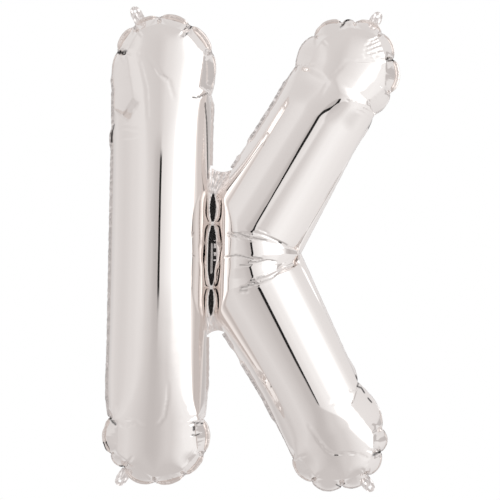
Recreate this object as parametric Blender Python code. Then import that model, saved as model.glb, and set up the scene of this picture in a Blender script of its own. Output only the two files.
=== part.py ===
# Letter foil balloon: a tall letter of three inflated tubes with puckered ends.
# Metres, +Z up, X to the right, and the front faces -Y. The seam lies in the plane Y = 0.
import math

import bmesh
import bpy
from mathutils import Matrix, Vector

# Strokes: centres of the round ends, as (X, Z) in the seam plane, and tube radii.
STEM_HEAD = (-0.1470, 0.3110)
STEM_FOOT = (-0.1595, -0.3045)
ARMS_MEET = (-0.0158, -0.0012)
UPPER_HEAD = (0.1655, 0.3060)
LOWER_FOOT = (0.1462, -0.3196)
STEM_RADIUS = 0.0830
ARM_RADIUS = 0.0785

# The welded valley between the stem and the arms.
VALLEY_WIDTH = 0.0115
HEEL_RADIUS = 0.0800
HEEL_REACH = 0.4500

# Film shell, seam flange and the gaps between neighbours.
SHELL_WALL = 0.0100
FLANGE_PROUD = 0.0045
FLANGE_TUCK = 0.0080
FLANGE_HALF = 0.0005
GAP = 0.0003

# Puckered ends: the radii in the seam plane at a notch and at a lobe, and the depth of the end.
STEM_NOTCH = 0.0825
STEM_LOBE = 0.0915
ARM_NOTCH = 0.0795
ARM_LOBE = 0.0885
LOBE_STEPS = 5
PLAIN_STEPS = 10
OUTER_RINGS = 6
INNER_RINGS = 4
SIDE_STEPS = (0.012, 0.024, 0.036, 0.048)
ANGLE_CLEAR = 2.0
ARM_OVERRUN = 0.0300
HEEL_SIDES = 72
CHANNEL_SIDES = 16
MERGE = 0.00001

# Gas channels that cross the valley, and the ends of the three welds beside them.
CHANNEL_OUTER = 0.0052
CHANNEL_BORE = 0.0027
CHANNEL_HEIGHTS = (0.0450, -0.0635)
WELD_TOP = 0.0970
WELD_FOOT = -0.1140
WELD_TUCK = 0.0080
WELD_CLEAR = 0.0030

# Crotch webs of the flange, above and below the welds: heights on the stem's and the arm's side.
CROTCH_UPPER_STEM = 0.1420
CROTCH_UPPER_ARM = 0.1380
CROTCH_UPPER_SAG = 0.0070
CROTCH_LOWER_STEM = -0.1465
CROTCH_LOWER_ARM = -0.1400
CROTCH_LOWER_SAG = 0.0060

# Hanging tabs.
TAB_RING_RADIUS = 0.0084
TAB_HOLE_RADIUS = 0.0036
TAB_BASE_WIDTH = 0.0200
TAB_ARC_STEPS = 12
TAB_HOLE_STEPS = 20

# Filling sleeve, folded back under the stem's foot.
SLEEVE_X = -0.1480
SLEEVE_WIDTH = 0.0240
SLEEVE_LENGTH = 0.0340
SLEEVE_THICKNESS = 0.0010
SLEEVE_CORNER = 0.0050
SLEEVE_RISE = math.radians(5.0)

# Larger than the whole letter, for cutting halves and slabs.
CUT_SIZE = 1.2

# Each end: name, centre, radius at a notch, radius at a lobe, and notch angles in degrees counted from
# +X towards +Z, in order round the open side of the end.
ENDS = (
    ("stem_head", STEM_HEAD, STEM_NOTCH, STEM_LOBE, (-30, 16, 57, 95, 126, 165)),
    ("stem_foot", STEM_FOOT, STEM_NOTCH, STEM_LOBE, (170, 210, 229, 268, 302, 372)),
    ("upper_head", UPPER_HEAD, ARM_NOTCH, ARM_LOBE, (-60, -29, 13, 45, 79, 95, 133, 174)),
    ("lower_foot", LOWER_FOOT, ARM_NOTCH, ARM_LOBE, (205, 236, 277, 311, 345, 372, 428)),
)

# Each tab: name, end it hangs on, angle round that end, distance of its ring from the end's centre.
TABS = (
    ("hanging_tab_stem_head", STEM_HEAD, 117.0, 0.1065),
    ("hanging_tab_stem_foot", STEM_FOOT, 235.0, 0.1075),
    ("hanging_tab_upper_head", UPPER_HEAD, 60.5, 0.1040),
    ("hanging_tab_lower_foot", LOWER_FOOT, 304.5, 0.1015),
)


def clearScene():
    for thing in list(bpy.data.objects):
        bpy.data.objects.remove(thing)


def filmMaterial(name, colour, roughness):
    material = bpy.data.materials.new(name)
    material.use_nodes = True
    shader = material.node_tree.nodes["Principled BSDF"]
    shader.inputs["Base Color"].default_value = (*colour, 1.0)
    shader.inputs["Metallic"].default_value = 1.0
    shader.inputs["Roughness"].default_value = roughness
    return material


def addObject(name, form):
    mesh = bpy.data.meshes.new(name)
    bmesh.ops.recalc_face_normals(form, faces=form.faces)
    form.to_mesh(mesh)
    form.free()
    thing = bpy.data.objects.new(name, mesh)
    bpy.context.scene.collection.objects.link(thing)
    return thing


def combine(target, tool, operation):
    """Apply one Boolean to the target and remove the tool."""
    modifier = target.modifiers.new(operation.lower(), "BOOLEAN")
    modifier.operation = operation
    modifier.object = tool
    graph = bpy.context.evaluated_depsgraph_get()
    mesh = bpy.data.meshes.new_from_object(target.evaluated_get(graph))
    target.modifiers.clear()
    target.data = mesh
    bpy.data.objects.remove(tool)
    return target


def stemCentreX(z):
    share = (z - STEM_FOOT[1]) / (STEM_HEAD[1] - STEM_FOOT[1])
    return STEM_FOOT[0] + share * (STEM_HEAD[0] - STEM_FOOT[0])


def stemEdgeX(z):
    return stemCentreX(z) + STEM_RADIUS


def armsEdgeX(z):
    """The arms' left edge: the welded valley, or the arms' own sides above and below it."""
    valley = stemEdgeX(z) + VALLEY_WIDTH
    end = UPPER_HEAD if z > ARMS_MEET[1] else LOWER_FOOT
    run = Vector((end[0] - ARMS_MEET[0], end[1] - ARMS_MEET[1]))
    side = ARMS_MEET[0] + (z - ARMS_MEET[1]) * run.x / run.y - ARM_RADIUS * run.length / abs(run.y)
    return max(valley, side)


def tubeBetween(name, start, end, radius, sides):
    """A round tube between two points of the seam plane."""
    run = Vector((end[0] - start[0], 0.0, end[1] - start[1]))
    form = bmesh.new()
    bmesh.ops.create_cone(
        form, cap_ends=True, segments=sides, radius1=radius, radius2=radius, depth=run.length
    )
    turn = run.to_track_quat("Z", "Y").to_matrix().to_4x4()
    middle = Vector(((start[0] + end[0]) / 2, 0.0, (start[1] + end[1]) / 2))
    form.transform(Matrix.Translation(middle) @ turn)
    return addObject(name, form)


def lobedRadius(angle, notches, notchRadius, lobeRadius):
    """The end's radius in the seam plane: bulging between notches, plain on the tube's side."""
    for first, second in zip(notches, notches[1:]):
        turned = first + (angle - first) % 360.0
        if turned < second:
            share = (turned - first) / (second - first)
            return notchRadius + (lobeRadius - notchRadius) * math.sin(math.pi * share) ** 0.7
    return notchRadius


def endAngles(notches, bearing):
    """Angles round the open half of an end, each notch among them."""
    angles = {bearing - 90.0, bearing + 90.0}
    for first, second in zip(notches, notches[1:]):
        for step in range(LOBE_STEPS + 1):
            angle = first + (second - first) * step / LOBE_STEPS
            angle = bearing - 180.0 + (angle - bearing + 180.0) % 360.0
            if abs(angle - bearing) < 90.0 - ANGLE_CLEAR:
                angles.add(round(angle, 6))
    return sorted(angles)


def endOutline(end, bearing, side, grow, lobed):
    """Pairs of spine point and outline point round one end, from its right side to its left."""
    _, centre, notchRadius, lobeRadius, notches = end
    axis = Vector((math.cos(math.radians(bearing)), math.sin(math.radians(bearing))))
    left = Vector((-axis.y, axis.x))
    centre = Vector(centre)
    pairs = []
    for hand, backs in ((-1, SIDE_STEPS[::-1]), (0, ()), (1, SIDE_STEPS)):
        for back in backs:
            reach = side
            if lobed:
                angle = bearing + hand * (90.0 + math.degrees(math.atan2(back, side)))
                radius = lobedRadius(angle, notches, notchRadius, lobeRadius)
                reach = max(side, radius * math.cos(math.atan2(back, side)))
            spine = centre - axis * back
            pairs.append((spine, spine + left * hand * (reach + grow)))
        if hand == 0:
            turns = [bearing - 90.0 + 180.0 * i / PLAIN_STEPS for i in range(PLAIN_STEPS + 1)]
            if lobed:
                turns = endAngles(notches, bearing)
            for angle in turns:
                radius = side
                if lobed:
                    radius = lobedRadius(angle, notches, notchRadius, lobeRadius)
                    if abs(angle - bearing) > 90.0 - ANGLE_CLEAR:
                        radius = max(radius, side)
                turn = math.radians(angle)
                out = (radius + grow) * Vector((math.cos(turn), math.sin(turn)))
                pairs.append((centre, centre + out))
    return pairs


def strokeForm(name, foot, head, side, grow, lobed, rings):
    """One inflated stroke: round about its spine, with the outline of both ends in the seam plane."""
    run = Vector(head[1]) - Vector(foot[1])
    bearing = math.degrees(math.atan2(run.y, run.x))
    pairs = endOutline(head, bearing, side, grow, lobed and bool(head[4]))
    pairs += endOutline(foot, bearing + 180.0, side, grow, lobed and bool(foot[4]))
    form = bmesh.new()
    plain = side + grow
    rows = []
    for ring in range(1 - rings, rings):
        lift = math.radians(90.0 * ring / rings)
        row = []
        for spine, point in pairs:
            out = point - spine
            reach = (plain + (out.length - plain) * math.cos(lift) ** 2) * math.cos(lift)
            place = spine + out.normalized() * reach
            row.append(form.verts.new((place.x, plain * math.sin(lift), place.y)))
        rows.append(row)
    ridges = []
    for depth in (-plain, plain):
        ridges.append([form.verts.new((spine.x, depth, spine.y)) for spine, _ in pairs])
    rows = [ridges[0]] + rows + [ridges[1]]
    count = len(pairs)
    for low, high in zip(rows, rows[1:]):
        for i in range(count):
            j = (i + 1) % count
            form.faces.new((low[i], low[j], high[j], high[i]))
    bmesh.ops.remove_doubles(form, verts=form.verts, dist=MERGE)
    return addObject(name, form)


def boxBetween(name, low, high):
    form = bmesh.new()
    bmesh.ops.create_cube(form, size=1.0)
    low = Vector(low)
    high = Vector(high)
    form.transform(Matrix.Translation((low + high) / 2) @ Matrix.Diagonal((*(high - low), 1.0)))
    return addObject(name, form)


def plateFromOutline(name, outline, half):
    """A flat plate in the seam plane from (X, Z) points, `half` thick to each side."""
    form = bmesh.new()
    face = form.faces.new([form.verts.new((x, -half, z)) for x, z in outline])
    made = bmesh.ops.extrude_face_region(form, geom=[face])
    moved = [item for item in made["geom"] if isinstance(item, bmesh.types.BMVert)]
    bmesh.ops.translate(form, verts=moved, vec=(0.0, 2 * half, 0.0))
    return addObject(name, form)


def heelLimit(grow):
    """The rounded left side of the arms, leaning with the stem, and everything to its right."""
    offset = STEM_RADIUS + VALLEY_WIDTH + HEEL_RADIUS
    top = (stemCentreX(HEEL_REACH) + offset, HEEL_REACH)
    foot = (stemCentreX(-HEEL_REACH) + offset, -HEEL_REACH)
    limit = tubeBetween("heel", foot, top, HEEL_RADIUS + grow, HEEL_SIDES)
    middle = stemCentreX(0.0) + offset
    rest = boxBetween("rest", (middle, -HEEL_REACH, -HEEL_REACH), (CUT_SIZE, HEEL_REACH, HEEL_REACH))
    return combine(limit, rest, "UNION")


def hiddenEnd(head):
    """The plain inner end of an arm, drawn back past where the arms meet."""
    run = Vector(ARMS_MEET) - Vector(head)
    return ("inner_end", Vector(ARMS_MEET) + run.normalized() * ARM_OVERRUN, 0.0, 0.0, ())


def letterForm(name, grow, lobed, rings, channelRadius):
    """The inflated letter, swollen by `grow`; a channel radius of 0 leaves stem and arms apart."""
    head, foot, upper, lower = ENDS
    stem = strokeForm(name, foot, head, STEM_RADIUS, grow, lobed, rings)
    arms = strokeForm("arms", hiddenEnd(upper[1]), upper, ARM_RADIUS, grow, lobed, rings)
    lowerArm = strokeForm("lower_arm", hiddenEnd(lower[1]), lower, ARM_RADIUS, grow, lobed, rings)
    combine(arms, lowerArm, "UNION")
    combine(arms, heelLimit(grow), "INTERSECT")
    combine(stem, arms, "UNION")
    if channelRadius > 0.0:
        for height in CHANNEL_HEIGHTS:
            start = (stemCentreX(height) + STEM_RADIUS / 2, height)
            end = (stemCentreX(height) + STEM_RADIUS * 1.5 + VALLEY_WIDTH, height)
            combine(stem, tubeBetween("channel", start, end, channelRadius, CHANNEL_SIDES), "UNION")
    return stem


def makePanel(name, side, material):
    """One half of the letter as an open shell whose rim lies just off the flange."""
    panel = letterForm(name, 0.0, True, OUTER_RINGS, CHANNEL_OUTER)
    hollow = letterForm("hollow", -SHELL_WALL, False, INNER_RINGS, CHANNEL_BORE)
    combine(panel, hollow, "DIFFERENCE")
    rim = FLANGE_HALF + GAP
    near, far = sorted((side * rim, side * CUT_SIZE))
    half = boxBetween("half", (-CUT_SIZE, near, -CUT_SIZE), (CUT_SIZE, far, CUT_SIZE))
    combine(panel, half, "INTERSECT")
    finish(panel, material)


def finish(thing, material):
    """Merge what the cuts left double, shade it and give it its material."""
    form = bmesh.new()
    form.from_mesh(thing.data)
    bmesh.ops.remove_doubles(form, verts=form.verts, dist=0.00002)
    bmesh.ops.dissolve_degenerate(form, dist=0.00002, edges=form.edges)
    bmesh.ops.triangulate(form, faces=form.faces)
    form.to_mesh(thing.data)
    form.free()
    thing.data.shade_smooth()
    thing.data.set_sharp_from_angle(angle=math.radians(35))
    thing.data.materials.clear()
    thing.data.materials.append(material)


def valleyPlate(name, low, high, tuck):
    """A flat quad across the valley, tucked under the panels' rims on both sides."""
    corners = (
        (stemEdgeX(low) - tuck, low),
        (armsEdgeX(low) + tuck, low),
        (armsEdgeX(high) + tuck, high),
        (stemEdgeX(high) - tuck, high),
    )
    return plateFromOutline(name, corners, FLANGE_HALF)


def crotchWeb(name, weldEnd, stemHeight, armHeight, sag):
    """The flange's web in a crotch, its free edge sagging towards the valley."""
    middleX = (stemEdgeX(stemHeight) + armsEdgeX(armHeight)) / 2
    middleZ = (stemHeight + armHeight) / 2 - math.copysign(sag, weldEnd)
    corners = (
        (stemEdgeX(weldEnd) - FLANGE_TUCK, weldEnd),
        (armsEdgeX(weldEnd) + FLANGE_TUCK, weldEnd),
        (armsEdgeX(armHeight) + FLANGE_TUCK, armHeight),
        (armsEdgeX(armHeight), armHeight),
        (middleX, middleZ),
        (stemEdgeX(stemHeight), stemHeight),
        (stemEdgeX(stemHeight) - FLANGE_TUCK, stemHeight),
    )
    return plateFromOutline(name, corners, FLANGE_HALF)


def makeFlange(material):
    """The welded margin round the outline, one flat ring with a web in each crotch."""
    flange = letterForm("seam_flange", FLANGE_PROUD, True, OUTER_RINGS, 0.0)
    slabLow = (-CUT_SIZE, -FLANGE_HALF, -CUT_SIZE)
    slabHigh = (CUT_SIZE, FLANGE_HALF, CUT_SIZE)
    combine(flange, boxBetween("slab", slabLow, slabHigh), "INTERSECT")
    combine(flange, letterForm("inside", -FLANGE_TUCK, True, OUTER_RINGS, 0.0), "DIFFERENCE")
    cut = valleyPlate("valley", WELD_FOOT, WELD_TOP, FLANGE_TUCK + VALLEY_WIDTH / 2)
    for vertex in cut.data.vertices:
        vertex.co.y *= 2
    combine(flange, cut, "DIFFERENCE")
    upper = crotchWeb("upper", WELD_TOP, CROTCH_UPPER_STEM, CROTCH_UPPER_ARM, CROTCH_UPPER_SAG)
    combine(flange, upper, "UNION")
    lower = crotchWeb("lower", WELD_FOOT, CROTCH_LOWER_STEM, CROTCH_LOWER_ARM, CROTCH_LOWER_SAG)
    combine(flange, lower, "UNION")
    finish(flange, material)


def makeWelds(material):
    """Three flat welds down the valley, parted by the gas channels."""
    high, low = CHANNEL_HEIGHTS
    stretches = (
        ("web_weld_upper", high + WELD_CLEAR, WELD_TOP - GAP),
        ("web_weld_middle", low + WELD_CLEAR, high - WELD_CLEAR),
        ("web_weld_lower", WELD_FOOT + GAP, low - WELD_CLEAR),
    )
    for name, foot, top in stretches:
        finish(valleyPlate(name, foot, top, WELD_TUCK), material)


def tabOutline(reach):
    """A lug round at its free end, widening a little down to a base `reach` below its hole."""
    half = TAB_BASE_WIDTH / 2
    points = [(half, -reach)]
    for step in range(TAB_ARC_STEPS + 1):
        angle = math.pi * step / TAB_ARC_STEPS
        points.append((TAB_RING_RADIUS * math.cos(angle), TAB_RING_RADIUS * math.sin(angle)))
    points.append((-half, -reach))
    return points


def makeTabs(material):
    for name, centre, angle, distance in TABS:
        reach = distance - STEM_NOTCH
        tab = plateFromOutline(name, tabOutline(reach), FLANGE_HALF)
        hole = bmesh.new()
        bmesh.ops.create_cone(
            hole,
            cap_ends=True,
            segments=TAB_HOLE_STEPS,
            radius1=TAB_HOLE_RADIUS,
            radius2=TAB_HOLE_RADIUS,
            depth=4 * FLANGE_HALF,
        )
        hole.transform(Matrix.Rotation(math.pi / 2, 4, "X"))
        combine(tab, addObject("hole", hole), "DIFFERENCE")
        bearing = math.radians(angle)
        x = centre[0] + distance * math.cos(bearing)
        z = centre[1] + distance * math.sin(bearing)
        turn = Matrix.Rotation(math.pi / 2 - bearing, 4, "Y")
        tab.data.transform(Matrix.Translation((x, 0.0, z)) @ turn)
        combine(tab, letterForm("flange", FLANGE_PROUD + GAP, True, OUTER_RINGS, 0.0), "DIFFERENCE")
        finish(tab, material)


def makeSleeve(material):
    """The flat filling sleeve, folded back from the seam under the stem's foot."""
    form = bmesh.new()
    bmesh.ops.create_cube(form, size=1.0)
    size = (SLEEVE_WIDTH, SLEEVE_LENGTH, SLEEVE_THICKNESS, 1.0)
    form.transform(Matrix.Translation((0.0, SLEEVE_LENGTH / 2, 0.0)) @ Matrix.Diagonal(size))
    far = [
        edge
        for edge in form.edges
        if all(vertex.co.y > SLEEVE_LENGTH / 2 for vertex in edge.verts)
        and abs(edge.verts[0].co.z - edge.verts[1].co.z) > SLEEVE_THICKNESS / 2
    ]
    bmesh.ops.bevel(form, geom=far, offset=SLEEVE_CORNER, segments=4, profile=0.5, affect="EDGES")
    foot = STEM_FOOT[1] - STEM_LOBE - GAP - SLEEVE_THICKNESS
    place = Matrix.Translation((SLEEVE_X, FLANGE_HALF + GAP, foot))
    form.transform(place @ Matrix.Rotation(SLEEVE_RISE, 4, "X"))
    sleeve = addObject("filling_sleeve", form)
    finish(sleeve, material)


def main():
    clearScene()
    film = filmMaterial("silver_film", (0.86, 0.84, 0.83), 0.08)
    weld = filmMaterial("welded_film", (0.80, 0.78, 0.77), 0.18)
    makePanel("front_panel", -1, film)
    makePanel("back_panel", 1, film)
    makeFlange(weld)
    makeWelds(weld)
    makeTabs(weld)
    makeSleeve(weld)


main()
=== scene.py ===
import math
from concurrent.futures import ThreadPoolExecutor

import bmesh
import bpy
import numpy as np
from mathutils import Matrix, Vector, noise
from mathutils.geometry import delaunay_2d_cdt


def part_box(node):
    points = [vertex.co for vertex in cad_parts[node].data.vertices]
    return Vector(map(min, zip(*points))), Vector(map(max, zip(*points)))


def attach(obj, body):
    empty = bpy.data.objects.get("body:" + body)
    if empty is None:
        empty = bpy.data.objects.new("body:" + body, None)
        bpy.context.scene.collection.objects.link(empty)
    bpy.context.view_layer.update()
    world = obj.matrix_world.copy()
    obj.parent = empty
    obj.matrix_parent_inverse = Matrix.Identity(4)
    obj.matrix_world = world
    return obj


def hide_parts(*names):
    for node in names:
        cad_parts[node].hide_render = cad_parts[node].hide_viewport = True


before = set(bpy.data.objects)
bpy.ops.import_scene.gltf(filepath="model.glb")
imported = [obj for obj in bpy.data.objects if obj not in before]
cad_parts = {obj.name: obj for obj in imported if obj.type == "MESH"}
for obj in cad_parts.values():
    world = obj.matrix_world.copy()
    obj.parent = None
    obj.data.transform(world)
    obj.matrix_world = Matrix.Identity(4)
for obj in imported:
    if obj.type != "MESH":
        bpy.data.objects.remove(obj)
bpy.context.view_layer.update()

# where the tubes run, metres in the seam plane as (X, Z), the same as in the solids
letter = {
    "stemHead": (-0.1470, 0.3110),
    "stemFoot": (-0.1595, -0.3045),
    "armsMeet": (-0.0158, -0.0012),
    "upperHead": (0.1655, 0.3060),
    "lowerFoot": (0.1462, -0.3196),
    "stemRadius": 0.0830,
    "armRadius": 0.0785,
    "valleyWidth": 0.0115,
    "channelHeights": (0.0450, -0.0635),
    "channelSwell": 0.0046,        # how far the seams come together at a gas channel
    "channelReach": 0.0080,
    "eyeSwell": 0.0019,            # how far they draw apart half way between the channels
}

# the arms' corner points: where they leave the weld when flat and when blown up, and their inner corner
armCorners = {
    "flatTop": 0.1100,
    "flatFoot": -0.1270,
    "top": 0.0960,
    "foot": -0.1120,
    "notch": (0.0800, -0.0055),
    "notchCurl": 0.019,            # how far along each arm the notch is rounded
}

# puckers round each end: angle from +X towards +Z, then in mm the outward offset at the slit's mouth,
# the slit's depth, and the peak of the lobe that follows
puckers = {
    "stemHead": (
        (-49, 0, 0, 0.6), (-30, -3, 5, 4.6), (16, 2, 9, 1.5), (57, 0, 13, 2.5), (95, 1, 11, 3.5),
        (126, 1, 11, 1.5), (162, -2, 14, 3), (205, 0, 1, 0.5), (231, -1, 3, 2.5), (239, -1, 3, 0),
    ),
    "stemFoot": (
        (122, 0, 0, 0.5), (166, -5, 10, 6.5), (209, 3, 9, 7), (229, 0, 12, 10.5), (268, 6, 9, 9.5),
        (302, 8, 7, 9.5), (333, 7, 6, 6), (372, -3, 9, 1), (420, 0, 0, 0),
    ),
    "upperHead": (
        (-80, 0, 1, 1), (-60, -4, 6, 7.5), (-29, 3, 9, 7.5), (13, 0, 11, 8), (47, 6, 8, 11),
        (81, 2, 10, 6), (96, 1, 11, 9), (134, 1, 12, 8.5), (176, -1, 8, 0.5), (200, 0, 0, 0),
    ),
    "lowerFoot": (
        (184, 0, 0, 0.5), (205, 1, 9, 9.5), (241, 5, 8, 12), (277, 2, 11, 11.5), (311, 4, 8, 8.5),
        (343, 0, 12, 7.5), (372, -1, 12, 8.5), (428, -5, 8, 1), (442, 0, 0, 0),
    ),
}

# the film as a mesh: lattice spacing near the puckered seams and along the tubes
lattice = {
    "fine": 0.0036,
    "plain": 0.0062,
    "fineDepth": 0.062,
    "slitHalf": 0.0016,
}

# blowing up: a smooth pass that lets slack film shorten, then a pass that folds it
smoothPass = {
    "steps": 1100, "ramp": 450, "squeeze": 0.04, "stretch": 0.42, "bend": 0.12, "pressure": 0.07, "damping": 0.982,
}
foldPass = {
    "steps": 900, "ramp": 1, "squeeze": 1.0, "stretch": 0.40, "bend": 0.05, "pressure": 0.07, "damping": 0.975,
    "tubeSlack": 1.004, "endSlack": 0.5, "jitter": 0.0006,
}


def unit(v):
    v = np.asarray(v, float)
    return v / np.linalg.norm(v)


def stemCentreX(z):
    foot, head = letter["stemFoot"], letter["stemHead"]
    return foot[0] + (z - foot[1]) / (head[1] - foot[1]) * (head[0] - foot[0])


def stemEdgeX(z):
    return stemCentreX(z) + letter["stemRadius"]


def weldX(z):
    return stemEdgeX(z) + letter["valleyWidth"]


def channelSwell(z):
    swell = 0.0
    for height in letter["channelHeights"]:
        swell += letter["channelSwell"] * np.exp(-(((z - height) / letter["channelReach"]) ** 2))
    upper, lower = letter["channelHeights"]
    apart = np.clip((z - lower) / (upper - lower), 0, 1)
    return swell - letter["eyeSwell"] * np.sin(np.pi * apart)


def placeRound(end, radius, side, angle, out):
    centre, bearing = np.asarray(end["centre"]), end["bearing"]
    turn = math.radians(bearing)
    axis = np.array([math.cos(turn), math.sin(turn)])
    left = np.array([-axis[1], axis[0]])
    rel = (angle - bearing + 180.0) % 360.0 - 180.0
    if abs(rel) <= 90.0:
        turn = math.radians(rel)
        return centre + (radius + out) * (math.cos(turn) * axis + math.sin(turn) * left)
    back = side * math.tan(math.radians(abs(rel) - 90.0))
    return centre - axis * back + math.copysign(radius + out, rel) * left


def walked(points):
    return np.concatenate([[0], np.cumsum(np.linalg.norm(np.diff(points, axis=0), axis=1))])


def resample(points, count):
    points = np.asarray(points)
    along = walked(points)
    marks = np.linspace(0, along[-1], count)
    return np.column_stack([np.interp(marks, along, points[:, i]) for i in (0, 1)])


def lobesOf(flat, blown, table, depths):
    pieces = []
    for i, (first, second) in enumerate(zip(table, table[1:])):
        a, mouth, _, peak = first
        b, nextMouth, _, _ = second
        flats, lobe = [], []
        for t in np.linspace(0, 1, 41):
            angle = a + (b - a) * t
            swell = (peak - (mouth + nextMouth) / 2) * math.sin(math.pi * t) ** 0.85
            out = 0.001 * (mouth + (nextMouth - mouth) * t + swell)
            flats.append(placeRound(flat, flat["half"], blown["half"], angle + flat["turn"], 0))
            lobe.append(placeRound(blown, blown["half"], blown["half"], angle, out))
        lobe = np.array(lobe)
        keep = np.ones(len(lobe), bool)
        ends = []
        for place, angle, at, depth in ((0, a, mouth, depths[i]), (-1, b, nextMouth, depths[i + 1])):
            ends.append(placeRound(blown, blown["half"], blown["half"], angle, 0.001 * (at - depth)))
            gap = lattice["slitHalf"] if depth > 1.5 else 0.0
            keep &= np.linalg.norm(lobe - lobe[place], axis=1) >= gap
        target = np.vstack([ends[0], lobe[keep], ends[1]])
        pieces.append((np.array(flats), target, walked(target)[-1] / walked(flats)[-1]))
    return pieces


def endStations(flat, blown, table, sideReach):
    depths = [row[2] for row in table]
    for trial in range(6):
        pieces = lobesOf(flat, blown, table, depths)
        if max(piece[2] for piece in pieces) <= 1.0:
            break
        for i, piece in enumerate(pieces):
            if piece[2] > 1.0:
                depths[i] *= 0.8
                depths[i + 1] *= 0.8

    def side(angle, hand):
        rel = (angle - blown["bearing"] + 180.0) % 360.0 - 180.0
        back = blown["half"] * math.tan(math.radians(abs(rel) - 90.0))
        sides = []
        for shape in (flat, blown):
            turn = math.radians(shape["bearing"])
            axis = np.array([math.cos(turn), math.sin(turn)])
            left = np.array([-axis[1], axis[0]])
            backs = np.arange(back + 0.002, sideReach, 0.002)
            sides.append([np.array(shape["centre"]) - axis * v + hand * left * shape["half"] for v in backs])
        return sides

    flats, targets = side(table[0][0], -1)
    flats, targets = flats[::-1], targets[::-1]
    for flatPiece, target, _ in pieces:
        flats += list(resample(flatPiece, 160)[:-1])
        targets += list(resample(target, 160)[:-1])
    flats.append(pieces[-1][0][-1])
    targets.append(pieces[-1][1][-1])
    left = side(table[-1][0], 1)
    return flats + left[0], targets + left[1]


def endShapes(flatCentre, flatBearing, flatHalf, centre, bearing, half):
    flat = {"centre": flatCentre, "bearing": flatBearing, "half": flatHalf, "turn": flatBearing - bearing}
    return flat, {"centre": centre, "bearing": bearing, "half": half}


def bearingOf(run):
    return math.degrees(math.atan2(run[1], run[0]))


def stemOutline():
    radius = letter["stemRadius"]
    half = math.pi / 2 * radius
    run = unit(np.subtract(letter["stemHead"], letter["stemFoot"]))
    bearing = bearingOf(run)
    flats, targets, ends = [], [], []
    for name, turn, axis in (("stemHead", 0.0, run), ("stemFoot", 180.0, -run)):
        centre = letter[name]
        flat, blown = endShapes(centre, bearing + turn, half, centre, bearing + turn, radius)
        f, t = endStations(flat, blown, puckers[name], 0.30)
        flats += f
        targets += t
        ends.append((np.array(centre), half, axis))
    targets = np.array(targets)
    facing = targets[:, 0] > stemCentreX(targets[:, 1]) + radius - 0.0006   # the valley's side
    targets[:, 0] += np.where(facing, channelSwell(targets[:, 1]), 0.0)
    valleyLine = [(stemCentreX(z) + half, z) for z in (0.125, -0.140)]
    return np.array(flats), targets, ends, [(valleyLine, 0.012)]


def crossing(p, d, q, e):
    shares = np.linalg.solve(np.array([[d[0], -e[0]], [d[1], -e[1]]]), np.subtract(q, p))
    return np.array(p) + shares[0] * np.array(d)


def armsOutline():
    radius = letter["armRadius"]
    half = math.pi / 2 * radius
    up = unit(np.subtract(letter["upperHead"], letter["armsMeet"]))
    low = unit(np.subtract(letter["lowerFoot"], letter["armsMeet"]))
    upRight = np.array([up[1], -up[0]])
    lowRight = np.array([-low[1], low[0]])
    top = np.array([weldX(armCorners["flatTop"]), armCorners["flatTop"]])
    foot = np.array([weldX(armCorners["flatFoot"]), armCorners["flatFoot"]])
    notch = crossing(top + 2 * half * upRight, up, foot + 2 * half * lowRight, low)
    notchNow = np.array(armCorners["notch"])
    topNow = np.array([weldX(armCorners["top"]), armCorners["top"]])
    footNow = np.array([weldX(armCorners["foot"]), armCorners["foot"]])
    flats, targets, ends = [notch], [notchNow], []
    for name, axis, right in (("upperHead", up, upRight), ("lowerFoot", low, lowRight)):
        start = np.array(letter[name]) + radius * right
        centre = notch + axis * np.linalg.norm(start - notchNow) - right * half
        bearing = bearingOf(axis)
        flat, blown = endShapes(centre, bearing, half, letter[name], bearing, radius)
        f, t = endStations(flat, blown, puckers[name], 0.12)
        flats += f
        targets += t
        if name == "upperHead":
            heights = np.linspace(0, 1, 60)
            flats += list(top + (foot - top) * heights[:, None])
            valley = topNow + (footNow - topNow) * heights[:, None]
            valley[:, 0] -= channelSwell(valley[:, 1])
            targets += list(valley)
        ends.append((centre, half, axis))
        if name == "upperHead":
            ridgeLine = (centre - 0.035 * axis + 0.018 * right, centre - 0.110 * axis, notch + 0.05 * axis - right * half)
    heelLine = [(weldX(0) + 0.035, -0.005), (notch[0] - 0.02, notch[1])]
    targets = np.array(targets)
    curl = armCorners["notchCurl"]
    inward = [notchNow + curl * unit(np.subtract(targets[i], notchNow)) for i in (2, -2)]
    for i in np.flatnonzero(np.hypot(*(targets - notchNow).T) < curl):
        side = 1 if targets[i, 1] < notchNow[1] else 0
        t = 0.5 * (1 - np.hypot(*(targets[i] - notchNow)) / curl)
        near, far = inward[side], inward[1 - side]
        targets[i] = (1 - t) ** 2 * near + 2 * t * (1 - t) * notchNow + t * t * far
    return np.array(flats), targets, ends, [((top, foot), 0.012), (heelLine, 0.040), (ridgeLine, 0.009)]


def wantedSpacing(points, ends, fineLines):
    fine, plain = lattice["fine"], lattice["plain"]
    wanted = np.full(len(points), plain)
    for centre, half, axis in ends:
        away = points - centre
        ahead = away @ axis
        radial = np.linalg.norm(away, axis=1)
        radial = np.where(ahead > 0, radial, np.abs(away @ np.array([-axis[1], axis[0]])))
        near = np.clip((half - radial - lattice["fineDepth"] * 0.6) / (lattice["fineDepth"] * 0.8), 0, 1)
        back = np.clip((-ahead - 0.02) / 0.05, 0, 1)
        wanted = np.minimum(wanted, fine + (plain - fine) * np.maximum(near, back))
    for line, reach in fineLines:
        away = lineDistance(points, np.array(line))[0]
        wanted = np.minimum(wanted, fine + (plain - fine) * np.clip((away - reach) / 0.012, 0, 1))
    return wanted


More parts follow.
